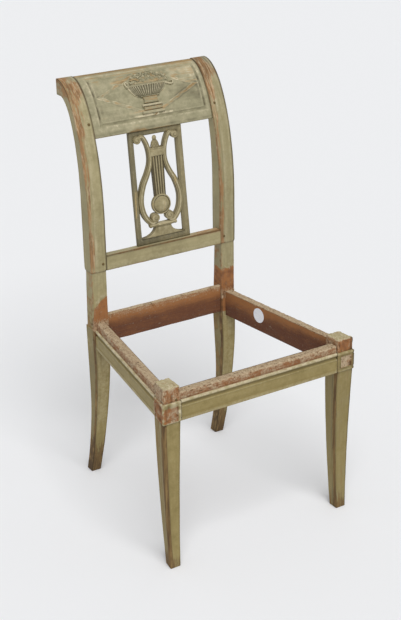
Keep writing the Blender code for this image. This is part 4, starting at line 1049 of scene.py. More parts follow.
def crestFaceMarks(look, x, run):
    # how far the face stands out at a place, and its marks
    inside = min(look["panelHalf"] - abs(x - look["panelX"]), run - look["panelLow"], look["panelHigh"] - run)
    groove = ridge(inside, 0.0, 0.0006, look["groove"])
    bead = ridge(inside, look["bead"], 0.0005, 0.0018)
    wide = ripple(x, run, 0.0, 0.035)
    fine = ripple(x, run, 3.0, 0.011)
    rise = 0.00012 * ripple(x, run, 1.0, 0.006) - look["grooveDepth"] * groove + look["beadRise"] * bead
    rise -= look["panelSink"] * ease(inside, 0.0, look["groove"])
    wear = 0.05 + 0.10 * wide
    pale = 0.06 + 0.18 * wide + 0.24 * fine
    shade = 0.26 * ripple(x, run, 8.0, 0.030) + 0.30 * ripple(x, run, 11.0, 0.012)
    nearTop = ease(look["panelHigh"] - run, 0.010, 0.004)
    nearLow = ease(run - look["panelLow"], 0.008, 0.004)
    broken = clamp(0.75 + 0.9 * ripple(x, run, 6.0, 0.012))
    # painted shade in the groove round the panel, faint along its top and lower edges
    grime = groove * broken * (0.86 - 0.66 * nearTop - 0.36 * nearLow)
    pale += 0.22 * ridge(inside, -0.0045, 0.0008, 0.0022) * broken * (1 - nearTop)
    if inside > look["groove"]:
        across = abs(x - look["lozengeX"]) / look["lozengeHalf"]
        up = abs(run - look["lozengeS"]) / look["lozengeTall"]
        gap = abs(across + up - 1) / math.hypot(1 / look["lozengeHalf"], 1 / look["lozengeTall"])
        strip = 1 - ease(gap, look["stripHalf"] - 0.0006, look["stripHalf"] + 0.0010)
        rise += look["stripRise"] * strip
        onRight, below = x > look["lozengeX"], run < look["lozengeS"]
        corner = 0.9 if onRight or below else 0.40
        wear += ((0.48 if below else 0.10) if onRight else 0.32) * strip * (1 + fine) + 0.10 * strip * wide
        pale += (0.34 * strip + 0.34 * ridge(gap, look["stripHalf"], 0.0003, 0.0014)) * corner * (1 + 1.4 * fine)
        # painted shade beside the raised strips
        shade += 0.24 * ridge(gap, look["stripHalf"] + 0.0016, 0.0004, 0.0026)
        grime += 0.14 * ridge(gap, look["stripHalf"] + 0.0012, 0.0003, 0.0014)
        chipped = ridge(x, 0.015, 0.045, 0.065) * ridge(run, look["panelLow"] + look["bead"], 0.002, 0.004)
        pale += bead * clamp(0.5 + fine) * (0.20 + 0.15 * ease(x, 0.06, 0.12)) * (1 - nearTop)
        pale += 0.80 * chipped * clamp(0.50 + 1.6 * fine)
        shade += 0.22 * ridge(inside, look["bead"] + 0.004, 0.001, 0.005)
        # the ground is pale ochre at the upper right, streaked near the top, and brown at mid right
        rubbed = ease(x, 0.058, 0.082) * ease(run, 0.084, 0.102) * clamp(0.85 + 0.7 * ripple(x, run, 4.0, 0.03))
        wear += (0.12 + 0.26 * ridge(run, 0.102, 0.006, 0.014)) * rubbed
        pale += 0.30 * rubbed
        wear += 0.40 * ease(run, 0.095, 0.120) * clamp(ripple(x, run * 2, 9.0, 0.03) + 0.2)
        wear += 0.24 * clamp(ripple(x, run, 14.0, 0.022)) * ease(x, 0.0, -0.05)
        darkAmount = ease(x, 0.045, 0.080) * ridge(run, 0.070, 0.012, 0.032)
        shade += 0.46 * darkAmount
        wear += 0.16 * darkAmount
        pale += 0.07 * ease(x, 0.0, -0.05) * ease(run, 0.075, 0.055)
    lowEdge = 1 - ease(run, 0.0, 0.0032)
    wear += 0.66 * lowEdge * clamp(0.8 + ripple(x, 1.0, 0.0, 0.03))
    wear += 0.24 * ease(run, 0.124, 0.134) + 0.34 * ease(run, 0.136, 0.146)
    wear += 0.60 * ridge(x, -0.040, 0.014, 0.026) * ease(run, 0.008, 0.003)
    shade += 0.32 * ridge(run, 0.006, 0.001, 0.004)
    pale += 0.10 * ridge(run, 0.016, 0.003, 0.006) + 0.16 * ridge(inside, -0.006, 0.001, 0.004)
    pale += 0.16 * ease(run, 0.085, 0.105)
    grime += 0.34 * lowEdge + 0.26 * ease(run, crestLength - 0.005, crestLength - 0.001)
    pale += 0.14 * ridge(run, 0.1350, 0.001, 0.003)
    return rise, (wear, grime, 0.0, pale, shade)


def crestRail(look):
    half = look["half"]
    steps = (1, 0.6, 0.25, -0.25, -0.6, -1)
    xs = [-half, -half + 0.0008] + spread(-half + 0.002, half - 0.002, look["step"]) + [half - 0.0008, half]
    xs += [look["panelX"] + s * (look["panelHalf"] + look["groove"] * n) for n in steps for s in (-1, 1)]
    xs = sorted(xs)
    runs = [0.0, 0.0006, 0.0016] + spread(0.003, crestLength - 0.0015, look["step"]) + [crestLength]
    runs = sorted(runs + [edge + look["groove"] * n for n in steps for edge in (look["panelLow"], look["panelHigh"])])
    deeps = (0.0, 0.0008, 0.0022, 0.009, 0.0158, 0.0172, 0.018)
    topLine = len(runs) - 1

    def place(i, j, k):
        x = xs[i]
        run = runs[k]
        deep = deeps[j]
        share = shareAt(run)
        spot = curveAt(crestFace, share).lerp(curveAt(crestRear, share), deep / look["thick"])
        point = Vector((x, spot.x, spot.y))
        if j == 0:
            rise, (wear, grime, _, pale, shade) = crestFaceMarks(look, x, run)
            point = crestPoint(x, run, rise)
            if k == topLine:
                point.y = look["faceTop"]
            if k < 2:
                point.y += 0.0012 - 0.0006 * k
        else:
            wear = 0.06 + 0.10 * ripple(x, run, 2.0, 0.03)
            wear += 0.32 * ridge(min(run, crestLength - run), 0.0, 0.0, 0.005)
            grime, pale, shade = 0.0, 0.08 * ripple(x, run, 5.0, 0.02), 0.20
            if k == topLine:
                point.y = look["rearTop"] - 0.0012 * (1 - ease(min(deep, look["thick"] - deep), 0.0, 0.0022))
            elif k < 2 and j < 3:
                point.z += 0.0003
        grime += 0.65 * ridge(half - abs(x), 0.0, 0.0006, 0.0028)
        return point, (wear, grime, 0.0, pale, shade)

    return mould((len(xs), len(deeps), len(runs)), place)


finishPiece("crestRail", crestRail(crestLook), crestPaint, "painted_wood", "crest_rail")
print("crest made")


# Basket of flowers carved on the crest, each part shaped by itself, then joined

basketLook = {
    "letIn": -0.0016,    # how deep the backs of its parts sit in the crest
    # heights along the face, half widths and middles, at the bottom and the top
    "bowl": (0.0710, 0.0925, 0.0250, 0.0465, -0.0005, 0.0035), "bowlRise": 0.0062, "ribs": 23, "ribRise": 0.0011,
    # low and high, left and right
    "rim": (0.0915, 0.0955, -0.0450, 0.0510), "rimRise": 0.0066, "twists": 24, "twistRise": 0.0006,
    "mound": (0.0945, 0.1290, -0.036, 0.057), "moundRise": 0.0042, "blossoms": 48,
    # low and high, left and right, rise, how far the middle is drawn in, wear and paleness
    "bars": ((0.0545, 0.0685, -0.0150, 0.0215, 0.0040, 0.12, 0.42, 0.20),
             (0.0480, 0.0535, -0.0200, 0.0285, 0.0048, 0.0, 0.12, 0.56),
             (0.0400, 0.0475, -0.0185, 0.0275, 0.0034, 0.10, 0.34, 0.22),
             (0.0325, 0.0395, -0.0225, 0.0310, 0.0042, 0.0, 0.26, 0.36),
             (0.0680, 0.0715, -0.0185, 0.0265, 0.0052, 0.0, 0.20, 0.26)),
    "leftHandle": ((-0.039, 0.0930), (-0.0425, 0.0940), (-0.0452, 0.0985), (-0.0450, 0.1030), (-0.0425, 0.1050),
                   (-0.0402, 0.1030), (-0.0412, 0.1005)),
    "rightHandle": ((0.046, 0.0935), (0.0535, 0.0905), (0.0610, 0.0880), (0.0660, 0.0900), (0.0660, 0.0945),
                    (0.0620, 0.0960), (0.0600, 0.0930)),
    "ribbon": 0.0042, "ribbonRise": 0.0040,
}


def smoothPath(points, count):
    # even steps of a curve through a few chosen points
    ends = [points[0]] + list(points) + [points[-1]]
    line = []
    for four in zip(ends, ends[1:], ends[2:], ends[3:]):
        for n in range(24):
            t = n / 24
            w = (-t + 2 * t * t - t ** 3, 2 - 5 * t * t + 3 * t ** 3, t + 4 * t * t - 3 * t ** 3, -t * t + t ** 3)
            line.append(Vector([sum(a * p[axis] for a, p in zip(w, four)) / 2 for axis in (0, 1)]))
    line.append(Vector(points[-1]))
    runs = [0.0]
    for a, b in zip(line, line[1:]):
        runs.append(runs[-1] + (b - a).length)
    even = []
    n = 0
    for step in range(count + 1):
        goal = runs[-1] * step / count
        while n < len(runs) - 2 and runs[n + 1] < goal:
            n += 1
        even.append(line[n].lerp(line[n + 1], clamp((goal - runs[n]) / (runs[n + 1] - runs[n]))))
    return even


def besidePath(path, k, offset):
    # a place square to a path, beside its step k
    run = (path[min(k + 1, len(path) - 1)] - path[max(k - 1, 0)]).normalized()
    return path[k] + Vector((-run.y, run.x)) * offset


def ball(segments, rings, radius, place):
    bm = bmesh.new()
    bmesh.ops.create_uvsphere(bm, u_segments=segments, v_segments=rings, radius=radius)
    return setMarks(bm, place)


def hump(value):
    # height of a half circle, 1 at 0 and 0 at -1 and 1
    return math.sqrt(max(0.0, 1 - value ** 2))


def reliefSlab(xs, ts, shape):
    # a raised part of the carving: shape gives x, run, rise and marks; its back is let into the crest
    def place(i, j, k):
        x, run, rise, values = shape(xs[i], ts[k])
        back = basketLook["letIn"]
        return crestPoint(x, run, (rise, mixed(rise, back, 0.5), back)[j]), values

    return mould((len(xs), 3, len(ts)), place)


def basketBowl(look):
    low, high, lowHalf, highHalf, lowX, highX = look["bowl"]

    def shape(share, t):
        half = mixed(lowHalf, highHalf, t ** 0.62)
        around = math.asin(clamp(share, -1.0, 1.0)) / (math.pi / 2)
        rib = 0.5 + 0.5 * math.cos(around * look["ribs"] * math.pi)
        bulge = hump(share)
        rise = look["bowlRise"] * (0.15 + 0.85 * bulge) * (0.72 + 0.28 * math.sin(t * math.pi * 0.8))
        rise += look["ribRise"] * rib * bulge
        x = mixed(lowX, highX, t) + share * half
        fine = ripple(x, t * 0.03, 0.0, 0.006)
        edge = ease(abs(share), 0.92, 0.99)
        # painted shade between the ribs and under the rim
        grime = 0.86 * (1 - ease(rib, 0.05, 0.60)) * (1 - edge) + 0.30 * ease(t, 0.90, 1.0)
        pale = 0.44 * ease(rib, 0.45, 0.95) * (1 + fine) + (0.60 if share < 0 else 0.25) * edge * (1 + fine)
        return x, mixed(low, high, t), rise, (0.10 + 0.18 * rib * fine, grime, 0.0, pale, 0.55 * (1 - edge))

    xs = [math.sin(n * math.pi / 2) for n in spread(-1.0, 1.0, 2 / 168)]
    return reliefSlab(xs, spread(0.0, 1.0, 1 / 14), shape)


def basketRim(look):
    low, high, left, right = look["rim"]

    def shape(share, t):
        x = mixed(left, right, share)
        bulge = hump(2 * t - 1)
        twist = math.sin((share * look["twists"] + t * 0.5) * 2 * math.pi)
        rise = look["rimRise"] * (0.35 + 0.65 * bulge) + look["twistRise"] * twist - 0.003 * (2 * share - 1) ** 4
        grime = 0.24 * clamp(-twist) + 0.36 * (1 - ease(bulge, 0.0, 0.5))
        return x, mixed(low, high, t), rise, (0.20, grime, 0.0, 0.32 + 0.20 * twist, 0.18)

    return reliefSlab(spread(0.0, 1.0, 1 / 144), spread(0.0, 1.0, 1 / 8), shape)


def basketBar(low, high, left, right, rise, waist, wear, pale):
    def shape(share, t):
        half = (right - left) / 2 * (1 - waist * math.sin(t * math.pi))
        x = (left + right) / 2 + share * half
        edge = min(half * (1 - abs(share)), t * (high - low), (1 - t) * (high - low))
        soft = ease(edge, 0.0, 0.0016)
        fine = ripple(x, t, 1.0, 0.008)
        marks = (wear + 0.2 * fine, 0.36 * (1 - soft), 0.0, pale + 0.3 * fine, 0.16)
        return x, mixed(low, high, t), rise * mixed(0.35, 1.0, soft), marks

    return reliefSlab(spread(-1.0, 1.0, 1 / 24), spread(0.0, 1.0, 1 / 10), shape)


def moundTop(look, share):
    # height of the flowers' outline along the basket
    low, high, _, _ = look["mound"]
    crown = math.sqrt(max(0.0, 1 - abs(2 * share - 1.06) ** 2.4))
    return mixed(low, high, 0.10 + 0.90 * crown)


def moundDome(share, t):
    # how full the mound is, 0 at its edges
    return hump(2 * share - 1) * hump(1.9 * t - 0.9)


def basketMound(look):
    low, _, left, right = look["mound"]

    def shape(share, t):
        x = mixed(left, right, share)
        run = mixed(low - 0.002, moundTop(look, share) - 0.002, t)
        leaf = ripple(x, run, 2.0, 0.006)
        rise = look["moundRise"] * (0.12 + 0.75 * moundDome(share, t)) + 0.0012 * leaf
        return x, run, rise, (0.20 + 0.40 * clamp(leaf), 0.24 * clamp(-leaf * 2 + 0.2), 0.0, 0.20 * leaf, 0.36)

    return reliefSlab(spread(0.0, 1.0, 1 / 72), spread(0.0, 1.0, 1 / 26), shape)


def basketBlossoms(look):
    # heads of three to five petals, spread over the mound in a fixed order
    low, _, left, right = look["mound"]
    heads = []
    for n in range(look["blossoms"]):
        share = 0.04 + 0.92 * ((n * 0.618034 + 0.13) % 1.0)
        t = 0.06 + 0.90 * math.sqrt((n + 0.5) / look["blossoms"])
        x = mixed(left, right, share)
        run = mixed(low, moundTop(look, share) - 0.0015, t)
        size = mixed(0.0030, 0.0050, (n * 0.37) % 1.0)
        lift = look["moundRise"] * (0.30 + 0.75 * moundDome(share, t))
        light = 0.46 if n % 3 == 0 else 0.14

        def place(co, x=x, run=run, size=size, lift=lift, light=light, n=n):
            angle = math.atan2(co.y, co.x)
            r = math.hypot(co.x, co.y)
            petal = 0.76 + 0.24 * math.cos((3 + n % 3) * angle + n) + 0.10 * math.cos(2 * angle + 2.4 * n)
            cup = 0.0010 * co.z - 0.0006 * ridge(r, 0.30, 0.04, 0.18)
            grime = 0.18 * ridge(r, 0.32, 0.04, 0.20) + 0.34 * (1 - petal) * ease(r, 0.3, 0.8)
            grime += 0.16 * ease(-co.z, -0.15, 0.2)
            spot = crestPoint(x + co.x * size * petal, run + co.y * size * petal * 0.85, lift + cup)
            return spot, (0.46 if n % 4 == 1 else 0.18, grime, 0.0, light * ease(co.z, 0.0, 0.5), 0.24)

        heads.append(ball(20, 10, 1.0, place))
    return heads


def basketHandle(look, points):
    path = smoothPath(points, 48)
    acrossLines = spread(-1.0, 1.0, 1 / 5)

    def place(i, j, k):
        taper = 1 - 0.45 * ease(k, 20, len(path) - 1)
        across = acrossLines[i]
        spot = besidePath(path, k, look["ribbon"] / 2 * taper * across)
        rise = look["ribbonRise"] * (0.30 + 0.70 * hump(across))
        grime = 0.24 * ease(abs(across), 0.5, 1.0)
        pale = 0.80 * (1 - 0.6 * abs(across)) * clamp(0.8 + ripple(spot.x, spot.y, 2.0, 0.008))
        return crestPoint(spot.x, spot.y, (rise, look["letIn"])[j]), (0.08, grime, 0.0, pale, 0.0)

    return mould((len(acrossLines), 2, len(path)), place)


basketParts = [basketBowl(basketLook), basketRim(basketLook), basketMound(basketLook)] + basketBlossoms(basketLook)
basketParts += [basketBar(*bar) for bar in basketLook["bars"]]
basketParts += [basketHandle(basketLook, basketLook[key]) for key in ("leftHandle", "rightHandle")]
finishPiece("crestBasket", joined(basketParts), crestPaint, "painted_wood", sharp=60)
print("basket made")


# Splat frame: four strips with chamfered edges, mitred at the corners

splatLook = {
    "half": 0.06325, "low": 0.0003, "high": 0.2477, "thick": 0.008,
    "opening": 0.05125, "barTop": 0.016, "barLow": 0.2355,
    # shift to the right at the foot and the head: on the middle line, and how much more at the right edge
    "footShift": (0.0042, 0.0026), "headShift": (0.0014, 0.0013),
    "foot": 0.386, "base": 0.5425, "lean": 0.09808, "chamfer": 0.0034, "chamferDepth": 0.0022, "step": 0.004,
}


def splatPoint(x, up, deep):
    # a place in the leaning plane of the splat: across, up from the cross rail, and behind its face
    look = splatLook
    u, v = x / look["half"], up / look["high"]
    low, high = [middle + extra * u for middle, extra in (look["footShift"], look["headShift"])]
    return Vector((x + mixed(low, high, v), look["foot"] + look["lean"] * up + deep, look["base"] + up))


def splatFrame(look):
    c = look["chamfer"]

    def axisLines(outerLow, innerLow, innerHigh, outerHigh):
        sides = []
        for start, stop in ((outerLow, innerLow), (innerHigh, outerHigh)):
            sides.append([start, start + 0.0008, start + c, (start + stop) / 2, stop - c, stop - 0.0008, stop])
        return sides[0] + spread(innerLow, innerHigh, look["step"])[1:-1] + sides[1]

    xs = axisLines(-look["half"], -look["opening"], look["opening"], look["half"])
    ups = axisLines(look["low"], look["barTop"], look["barLow"], look["high"])
    deeps = (0.0, 0.5, 1.0)

    def place(i, j, k):
        x = xs[i]
        up = ups[k]
        outer = min(look["half"] - abs(x), up - look["low"], look["high"] - up)
        inner = max(abs(x) - look["opening"], look["barTop"] - up, up - look["barLow"])
        edge = min(outer, inner)
        deep = look["thick"] * deeps[j]
        if j == 0:
            deep = look["chamferDepth"] * (1 - clamp(edge / c))
        if j == 2:
            deep -= 0.0006 * (1 - clamp(edge / 0.0008))
        wander = ripple(x, up, 5.0, 0.03)
        ledge = ridge(edge, c, 0.0, 0.0016)
        wear = 0.06 + 0.12 * wander + 0.14 * ledge * (1 + wander)
        grime = 0.34 * (1 - ease(edge, 0.0, c)) if j == 0 else 0.26
        grime += 0.30 * ridge(min(up - look["low"], look["high"] - up), 0.0, 0.0, 0.002)
        shade = 0.52 - 2.4 * x + 0.13 * ease(up, look["barTop"] + 0.004, look["barTop"])
        return splatPoint(x, up, deep), (wear, grime, 0.0, 0.20 * ledge + 0.08 * wander, shade)

    def inOpening(face):
        # judged after the shift, so the right strip keeps a flat ledge about 4 mm wide along its inner edge
        spot = face.calc_center_median()
        up = spot.z - look["base"]
        return abs(spot.x) < look["opening"] and look["barTop"] < up < look["barLow"] and abs(face.normal.y) > 0.5

    bm = mould((len(xs), len(deeps), len(ups)), place)
    bm.normal_update()
    bmesh.ops.delete(bm, geom=[face for face in bm.faces if inOpening(face)], context="FACES")
    bmesh.ops.bridge_loops(bm, edges=[edge for edge in bm.edges if edge.is_boundary])
    return bm


finishPiece("splatFrame", splatFrame(splatLook), lyrePaint, "painted_wood", "splat_frame")
print("splat frame made")


# Lyre: each member shaped by itself, then all joined into one carved piece

lyreLook = {
    "middle": -0.001, "proud": -0.0040, "rear": 0.0076,
    # the arms' width at the belly and above the waist, and the heights between which it changes
    "armWidth": (0.0118, 0.0094), "waist": (0.130, 0.195), "armSteps": 120,
    "arm": ((0.04425, 0.2290), (0.03225, 0.2345), (0.0217, 0.2150), (0.0177, 0.1930), (0.0190, 0.1732),
            (0.0268, 0.1522), (0.0378, 0.1312), (0.0450, 0.1071), (0.0460, 0.0861), (0.0404, 0.0640),
            (0.0268, 0.0462), (0.0165, 0.0475)),
    "volute": (0.0170, 0.0565, 0.0100), "scroll": (0.04425, 0.2290, 0.0085),    # across, up and radius
    "disc": (0.0840, 0.0225),    # up and radius
    "strings": (0.0125, 0.0150, 0.0840, 0.1910), "flutes": 5, "fluteDepth": 0.0016,    # half widths, low and high
    "yoke": (0.0177, 0.1890, 0.2060), "cap": (0.0310, 0.0350, 0.0440), "knob": 0.0046,    # half width, low and high
    "pedestal": (0.0520, 0.0190, 0.0156, 0.0370),    # half widths at the foot and the neck, low and high
    "finial": (-0.003, 0.2060),    # across and up
}


def lyreArm(look, side):
    path = smoothPath(look["arm"], look["armSteps"])
    # lines from near the middle to an edge, and how deep each lies
    half = ((0.12, 0.0), (0.40, 0.0004), (0.52, 0.0015), (0.64, 0.0007), (0.80, 0.0008), (0.93, 0.0016),
            (1.0, 0.0032))
    section = [(-share, sunk) for share, sunk in reversed(half)] + list(half)
    deeps = (0.0, 0.35, 0.7, 1.0)

    def place(i, j, k):
        share, sunk = section[i]
        width = mixed(*look["armWidth"], ease(path[k].y, *look["waist"]))
        spot = besidePath(path, k, width / 2 * share)
        deep = mixed(look["proud"], look["rear"], deeps[j])
        if j == 0:
            deep += sunk
        if j == 3 and abs(share) == 1.0:
            deep -= 0.0012
        wander = ripple(spot.x, spot.y, 4.0 + side, 0.02)
        line = ridge(abs(share), 0.52, 0.04, 0.14)
        middle = ridge(share, 0.0, 0.15, 0.5)
        wear = 0.10 + 0.14 * wander + 0.16 * middle * clamp(wander)
        # painted shade at the arm's edges and in its grooves, and on its sides and back
        grime = 0.70 * ease(abs(share), 0.75, 1.0) + 0.72 * line if j == 0 else 0.46
        point = splatPoint(look["middle"] + side * spot.x, spot.y, deep)
        return point, (wear, grime, 0.0, 0.46 * middle * (1 + wander), 0.18)

    return mould((len(section), len(deeps), len(path)), place)


def spiralBoss(look, x, up, radius, side, turns):
    # a round boss with a spiral cut into its face
    def place(co):
        across, height, out = co
        r = clamp(math.hypot(across, height))
        angle = math.atan2(height, across * side) / (2 * math.pi)
        phase = (r * turns - angle) % 1.0
        cut = ease(abs(phase - 0.5), 0.30, 0.5) * ease(r, 0.10, 0.25) * ease(r, 1.0, 0.9) if out > 0 else 0.0
        bulge = 0.35 + 0.65 * hump(r)
        deep = look["rear"]
        if out >= 0:
            deep = look["proud"] - 0.0012 * bulge + 0.0020 * (1 - bulge) + 0.0012 * cut
        if abs(out) < 0.25:
            deep = mixed(0.0, deep, abs(out) * 4)
        spot = splatPoint(look["middle"] + x + across * radius, up + height * radius, deep)
        return spot, (0.16, 0.68 * cut + 0.45 * ease(r, 0.86, 1.0), 0.0, 0.22 * (1 - cut), 0.18)

    return ball(40, 28, 1.0, place)


def turned(profile, steps, place):
    # spins a profile of (radius, height) round its axis, then sets it in place
    bm = bmesh.new()
    verts = [bm.verts.new((r, 0.0, h)) for r, h in profile]
    edges = [bm.edges.new(pair) for pair in zip(verts, verts[1:])]
    bmesh.ops.spin(bm, geom=verts + edges, cent=(0, 0, 0), axis=(0, 0, 1), angle=2 * math.pi, steps=steps,
                   use_merge=True)
    bmesh.ops.remove_doubles(bm, verts=bm.verts[:], dist=0.00002)
    return setMarks(bm, place)


def lyreDisc(look):
    up, radius = look["disc"]
    profile = ((0.0, 0.0086), (0.0035, 0.0083), (0.0070, 0.0078), (0.0110, 0.0066), (0.0145, 0.0050),
               (0.0168, 0.0035), (0.0180, 0.0021), (0.0188, 0.0020), (0.0194, 0.0034), (0.0200, 0.0040),
               (0.0207, 0.0040), (0.0215, 0.0032), (0.0221, 0.0018), (radius, 0.0), (radius, -0.0030),
               (0.0217, -0.0042), (0.012, -0.0044), (0.0, -0.0044))

    def place(co):
        r = math.hypot(co.x, co.y)
        front = co.z > 0
        spots = ripple(co.x, co.y, 3.0, 0.009)
        grime = 0.80 * ridge(r, 0.0185, 0.0004, 0.0013) * front + 0.45 * ease(r, 0.0213, 0.0224)
        pale = 0.30 * ridge(r, 0.0204, 0.0006, 0.0014) * front + 0.32 * (1 + spots) * ease(r, 0.0165, 0.006)
        spot = splatPoint(look["middle"] + co.x, up + co.y, -co.z)
        return spot, (0.10 + 0.25 * clamp(spots), grime, 0.0, pale, 0.10)

    return turned(profile, 56, place)


def lyreSlab(xs, ups, shape, proud, rear):
    # a flat member between its front and back faces; shape gives x, up, extra depth of the front and marks
    def place(i, j, k):
        x, up, deep, values = shape(xs[i], ups[k])
        back = (proud + deep, mixed(proud, rear, 0.4), rear)[j]
        return splatPoint(x, up, back), values

    return mould((len(xs), 3, len(ups)), place)


def lyreStrings(look):
    lowHalf, highHalf, low, high = look["strings"]

    def shape(share, up):
        half = mixed(lowHalf, highHalf, (up - low) / (high - low))
        phase = (share * 0.94 + 1) / 2 * look["flutes"]
        cut = abs(math.sin(phase * math.pi)) if 0 < phase < look["flutes"] else 0.0
        edge = 1 - ease(abs(share), 0.90, 1.0)
        deep = 0.0012 + look["fluteDepth"] * cut + 0.0012 * (1 - edge)
        wear = 0.10 + 0.22 * (1 - cut) * clamp(0.3 + ripple(share, up * 20, 0.0, 0.6))
        # painted shade in the flutes and at the edges; darker towards the left
        grime = 0.95 * ease(cut, 0.40, 0.90) + 0.6 * (1 - edge) + 0.25 * ease(share, -0.3, -0.9)
        return look["middle"] + share * half, up, deep, (wear, grime, 0.0, 0.40 * (1 - cut), 0.20)

    return lyreSlab(spread(-1.0, 1.0, 2 / 60), spread(low, high, 0.004), shape, look["proud"], look["rear"] - 0.0015)


def lyreYoke(look):
    half, low, high = look["yoke"]
    tall = high - low + 0.0010
    xs = [-1.0, -0.96, -0.88] + spread(-0.78, 0.78, 0.13) + [0.88, 0.96, 1.0]
    ups = [0.0, 0.0008, 0.0020, 0.004, 0.006, 0.008, 0.010, 0.012, 0.0138, 0.0150, 0.0160, 0.0172, tall]

    def shape(share, up):
        edge = min(half * (1 - abs(share)), up, tall - up)
        ears = ease(abs(share), 0.72, 0.95) * ease(up, 0.010, tall)
        line = ridge(up, 0.0150, 0.0003, 0.0012)
        spots = ripple(share * 3, up * 180, 2.0, 0.9)
        deep = 0.0016 * (1 - ease(edge, 0.0, 0.0016)) - 0.0004 + 0.0008 * line
        grime = 0.55 * (1 - ease(edge, 0.0, 0.0014)) + 0.50 * line + 0.65 * clamp(spots - 0.25)
        x = look["middle"] + share * (half + 0.0012 * ears)
        return x, low + up + 0.0016 * ears, deep, (0.14 + 0.2 * spots, grime, 0.0, 0.22, 0.12)

    return lyreSlab(xs, ups, shape, look["proud"], look["rear"])


def lyreCap(look):
    half, low, high = look["cap"]
    xs = [-1.0, -0.985, -0.95, -0.90] + spread(-0.84, 0.84, 0.08) + [0.90, 0.95, 0.985, 1.0]
    ts = (0.0, 0.06, 0.16, 0.30, 0.44, 0.52, 0.60, 0.72, 0.86, 0.95, 1.0)

    def shape(share, t):
        width = half * (1 - 0.16 * ease(t, 0.5, 0.0) ** 1.5)
        pinch = math.sqrt(max(0.0, 1 - (2 * t - 1) ** 4))
        x = look["middle"] + share * (width - 0.003 * (1 - pinch) * abs(share))
        up = mixed(low, high, t) + 0.0018 * share * share - 0.0006    # the ends turn up
        line = ridge(t, 0.40, 0.03, 0.14)
        deep = 0.0030 * (1 - ease(min(t, 1 - t), 0.0, 0.30)) - 0.0010 + 0.0012 * line
        # painted shadow on the cap's lower part and along its line
        return x, up, deep, (0.16, 0.72 * line + 0.95 * ease(t, 0.30, 0.05), 0.0, 0.40 * ease(t, 0.45, 0.7), 0.12)

    return lyreSlab(xs, ts, shape, look["proud"], look["rear"])


def capKnob(look, side):
    half, low, high = look["cap"]

    def place(co):
        spot = splatPoint(look["middle"] + side * (half - 0.0022) + co.x, (low + high) / 2 + 0.0006 + co.y,
                          -0.0002 + co.z * 1.15)
        r = math.hypot(co.x, co.y) / look["knob"]
        return spot, (0.14, 0.60 * ease(r, 0.75, 1.0), 0.0, 0.32 * (1 - r), 0.12)

    return ball(24, 16, look["knob"], place)


def lyrePedestal(look):
    footHalf, neckHalf, low, high = look["pedestal"]
    edges = (0.2, 0.4, 0.6, 0.8, 0.92, 0.975, 1.0)
    xs = [-share for share in reversed(edges)] + [0.0] + list(edges)

    def shape(share, t):
        turn = math.acos(clamp(1 - t * 1.02))
        half = neckHalf + (footHalf - neckHalf) * (1 - math.sin(turn))
        edge = half * (1 - abs(share))
        deep = 0.0014 * (1 - ease(edge, 0.0, 0.0016)) + 0.0004
        wander = ripple(share * 2, t, 6.0, 0.5)
        # painted shadow at the top, under the cap; darker at the foot and the edges
        grime = 0.46 * (1 - ease(edge, 0.0, 0.0016)) + 0.40 * ease(t, 0.14, 0.0) + 0.45 * ease(t, 0.86, 1.0)
        grime += 0.26 * ridge(edge, 0.0042, 0.0004, 0.0014)
        return (look["middle"] + share * half, mixed(low, high, t), deep,
                (0.10 + 0.16 * wander, grime, 0.0, 0.16 + 0.15 * wander, 0.15))

    return lyreSlab(xs, spread(0.0, 1.0, 1 / 18), shape, look["proud"] + 0.0006, look["rear"])


def lyreFinial(look):
    # a cone of scales with a ball on top
    offset, base = look["finial"]
    cone = ((0.0086, 0.0006), (0.0098, 0.0020), (0.0103, 0.0040), (0.0100, 0.0060), (0.0096, 0.0080),
            (0.0091, 0.0100), (0.0084, 0.0120), (0.0074, 0.0140), (0.0062, 0.0158), (0.0052, 0.0172))
    tip = ((0.0046, 0.0182), (0.0044, 0.0190), (0.0049, 0.0206), (0.0050, 0.0226), (0.0045, 0.0246),
           (0.0034, 0.0262), (0.0018, 0.0272), (0.0, 0.0275))
    profile = ((0.0, -0.0015), (0.0076, -0.0015)) + cone + tip

    def place(co):
        angle = math.atan2(co.y, co.x)
        row = co.z / 0.0038
        inBody = ease(co.z, 0.0, 0.002) * ease(co.z, 0.0175, 0.0150)
        scale = math.cos(angle * 8 + (int(row) % 2) * math.pi) * 0.5 + 0.5
        lip = (row % 1.0) * scale
        swell = 1 + 0.07 * (lip - 0.4) * inBody
        neck = ridge(co.z, 0.0184, 0.0006, 0.0018)
        grime = 0.55 * (1 - ease(lip, 0.05, 0.45)) * inBody + 0.70 * neck + 0.50 * ease(co.z, 0.0012, -0.0005)
        spot = splatPoint(look["middle"] + offset + co.x * swell, base + co.z, 0.0002 + co.y * 0.52 * swell)
        return spot, (0.14, grime, 0.0, 0.30 * lip + 0.25 * ease(co.z, 0.020, 0.024), 0.15)

    return turned(profile, 48, place)


lyreParts = [made(lyreLook) for made in (lyreStrings, lyreDisc, lyreYoke, lyreCap, lyrePedestal, lyreFinial)]
for side, _ in bothSides:
    lyreParts += [lyreArm(lyreLook, side), capKnob(lyreLook, side)]
    for key, curl, turns in (("volute", -side, 1.7), ("scroll", side, 1.4)):
        x, up, radius = lyreLook[key]
        lyreParts.append(spiralBoss(lyreLook, side * x, up, radius, curl, turns))
finishPiece("lyre", joined(lyreParts), lyrePaint, "painted_wood", "lyre", sharp=50)
print("lyre made")


# Pegs and label

pegLook = {
    "radius": 0.0030, "taper": 0.0002, "round": 0.0006, "segments": 20, "marks": (0.0, 0.30, 1.0, 0.0, 0.5),
    "crestTilt": 0.42,    # of the pegs in the crest, in radians
}
pegFinish = wornPaint("pegWood", (1,), dict(finishLook, bareDark="#5A4A2C", bareLight="#7A6640"))


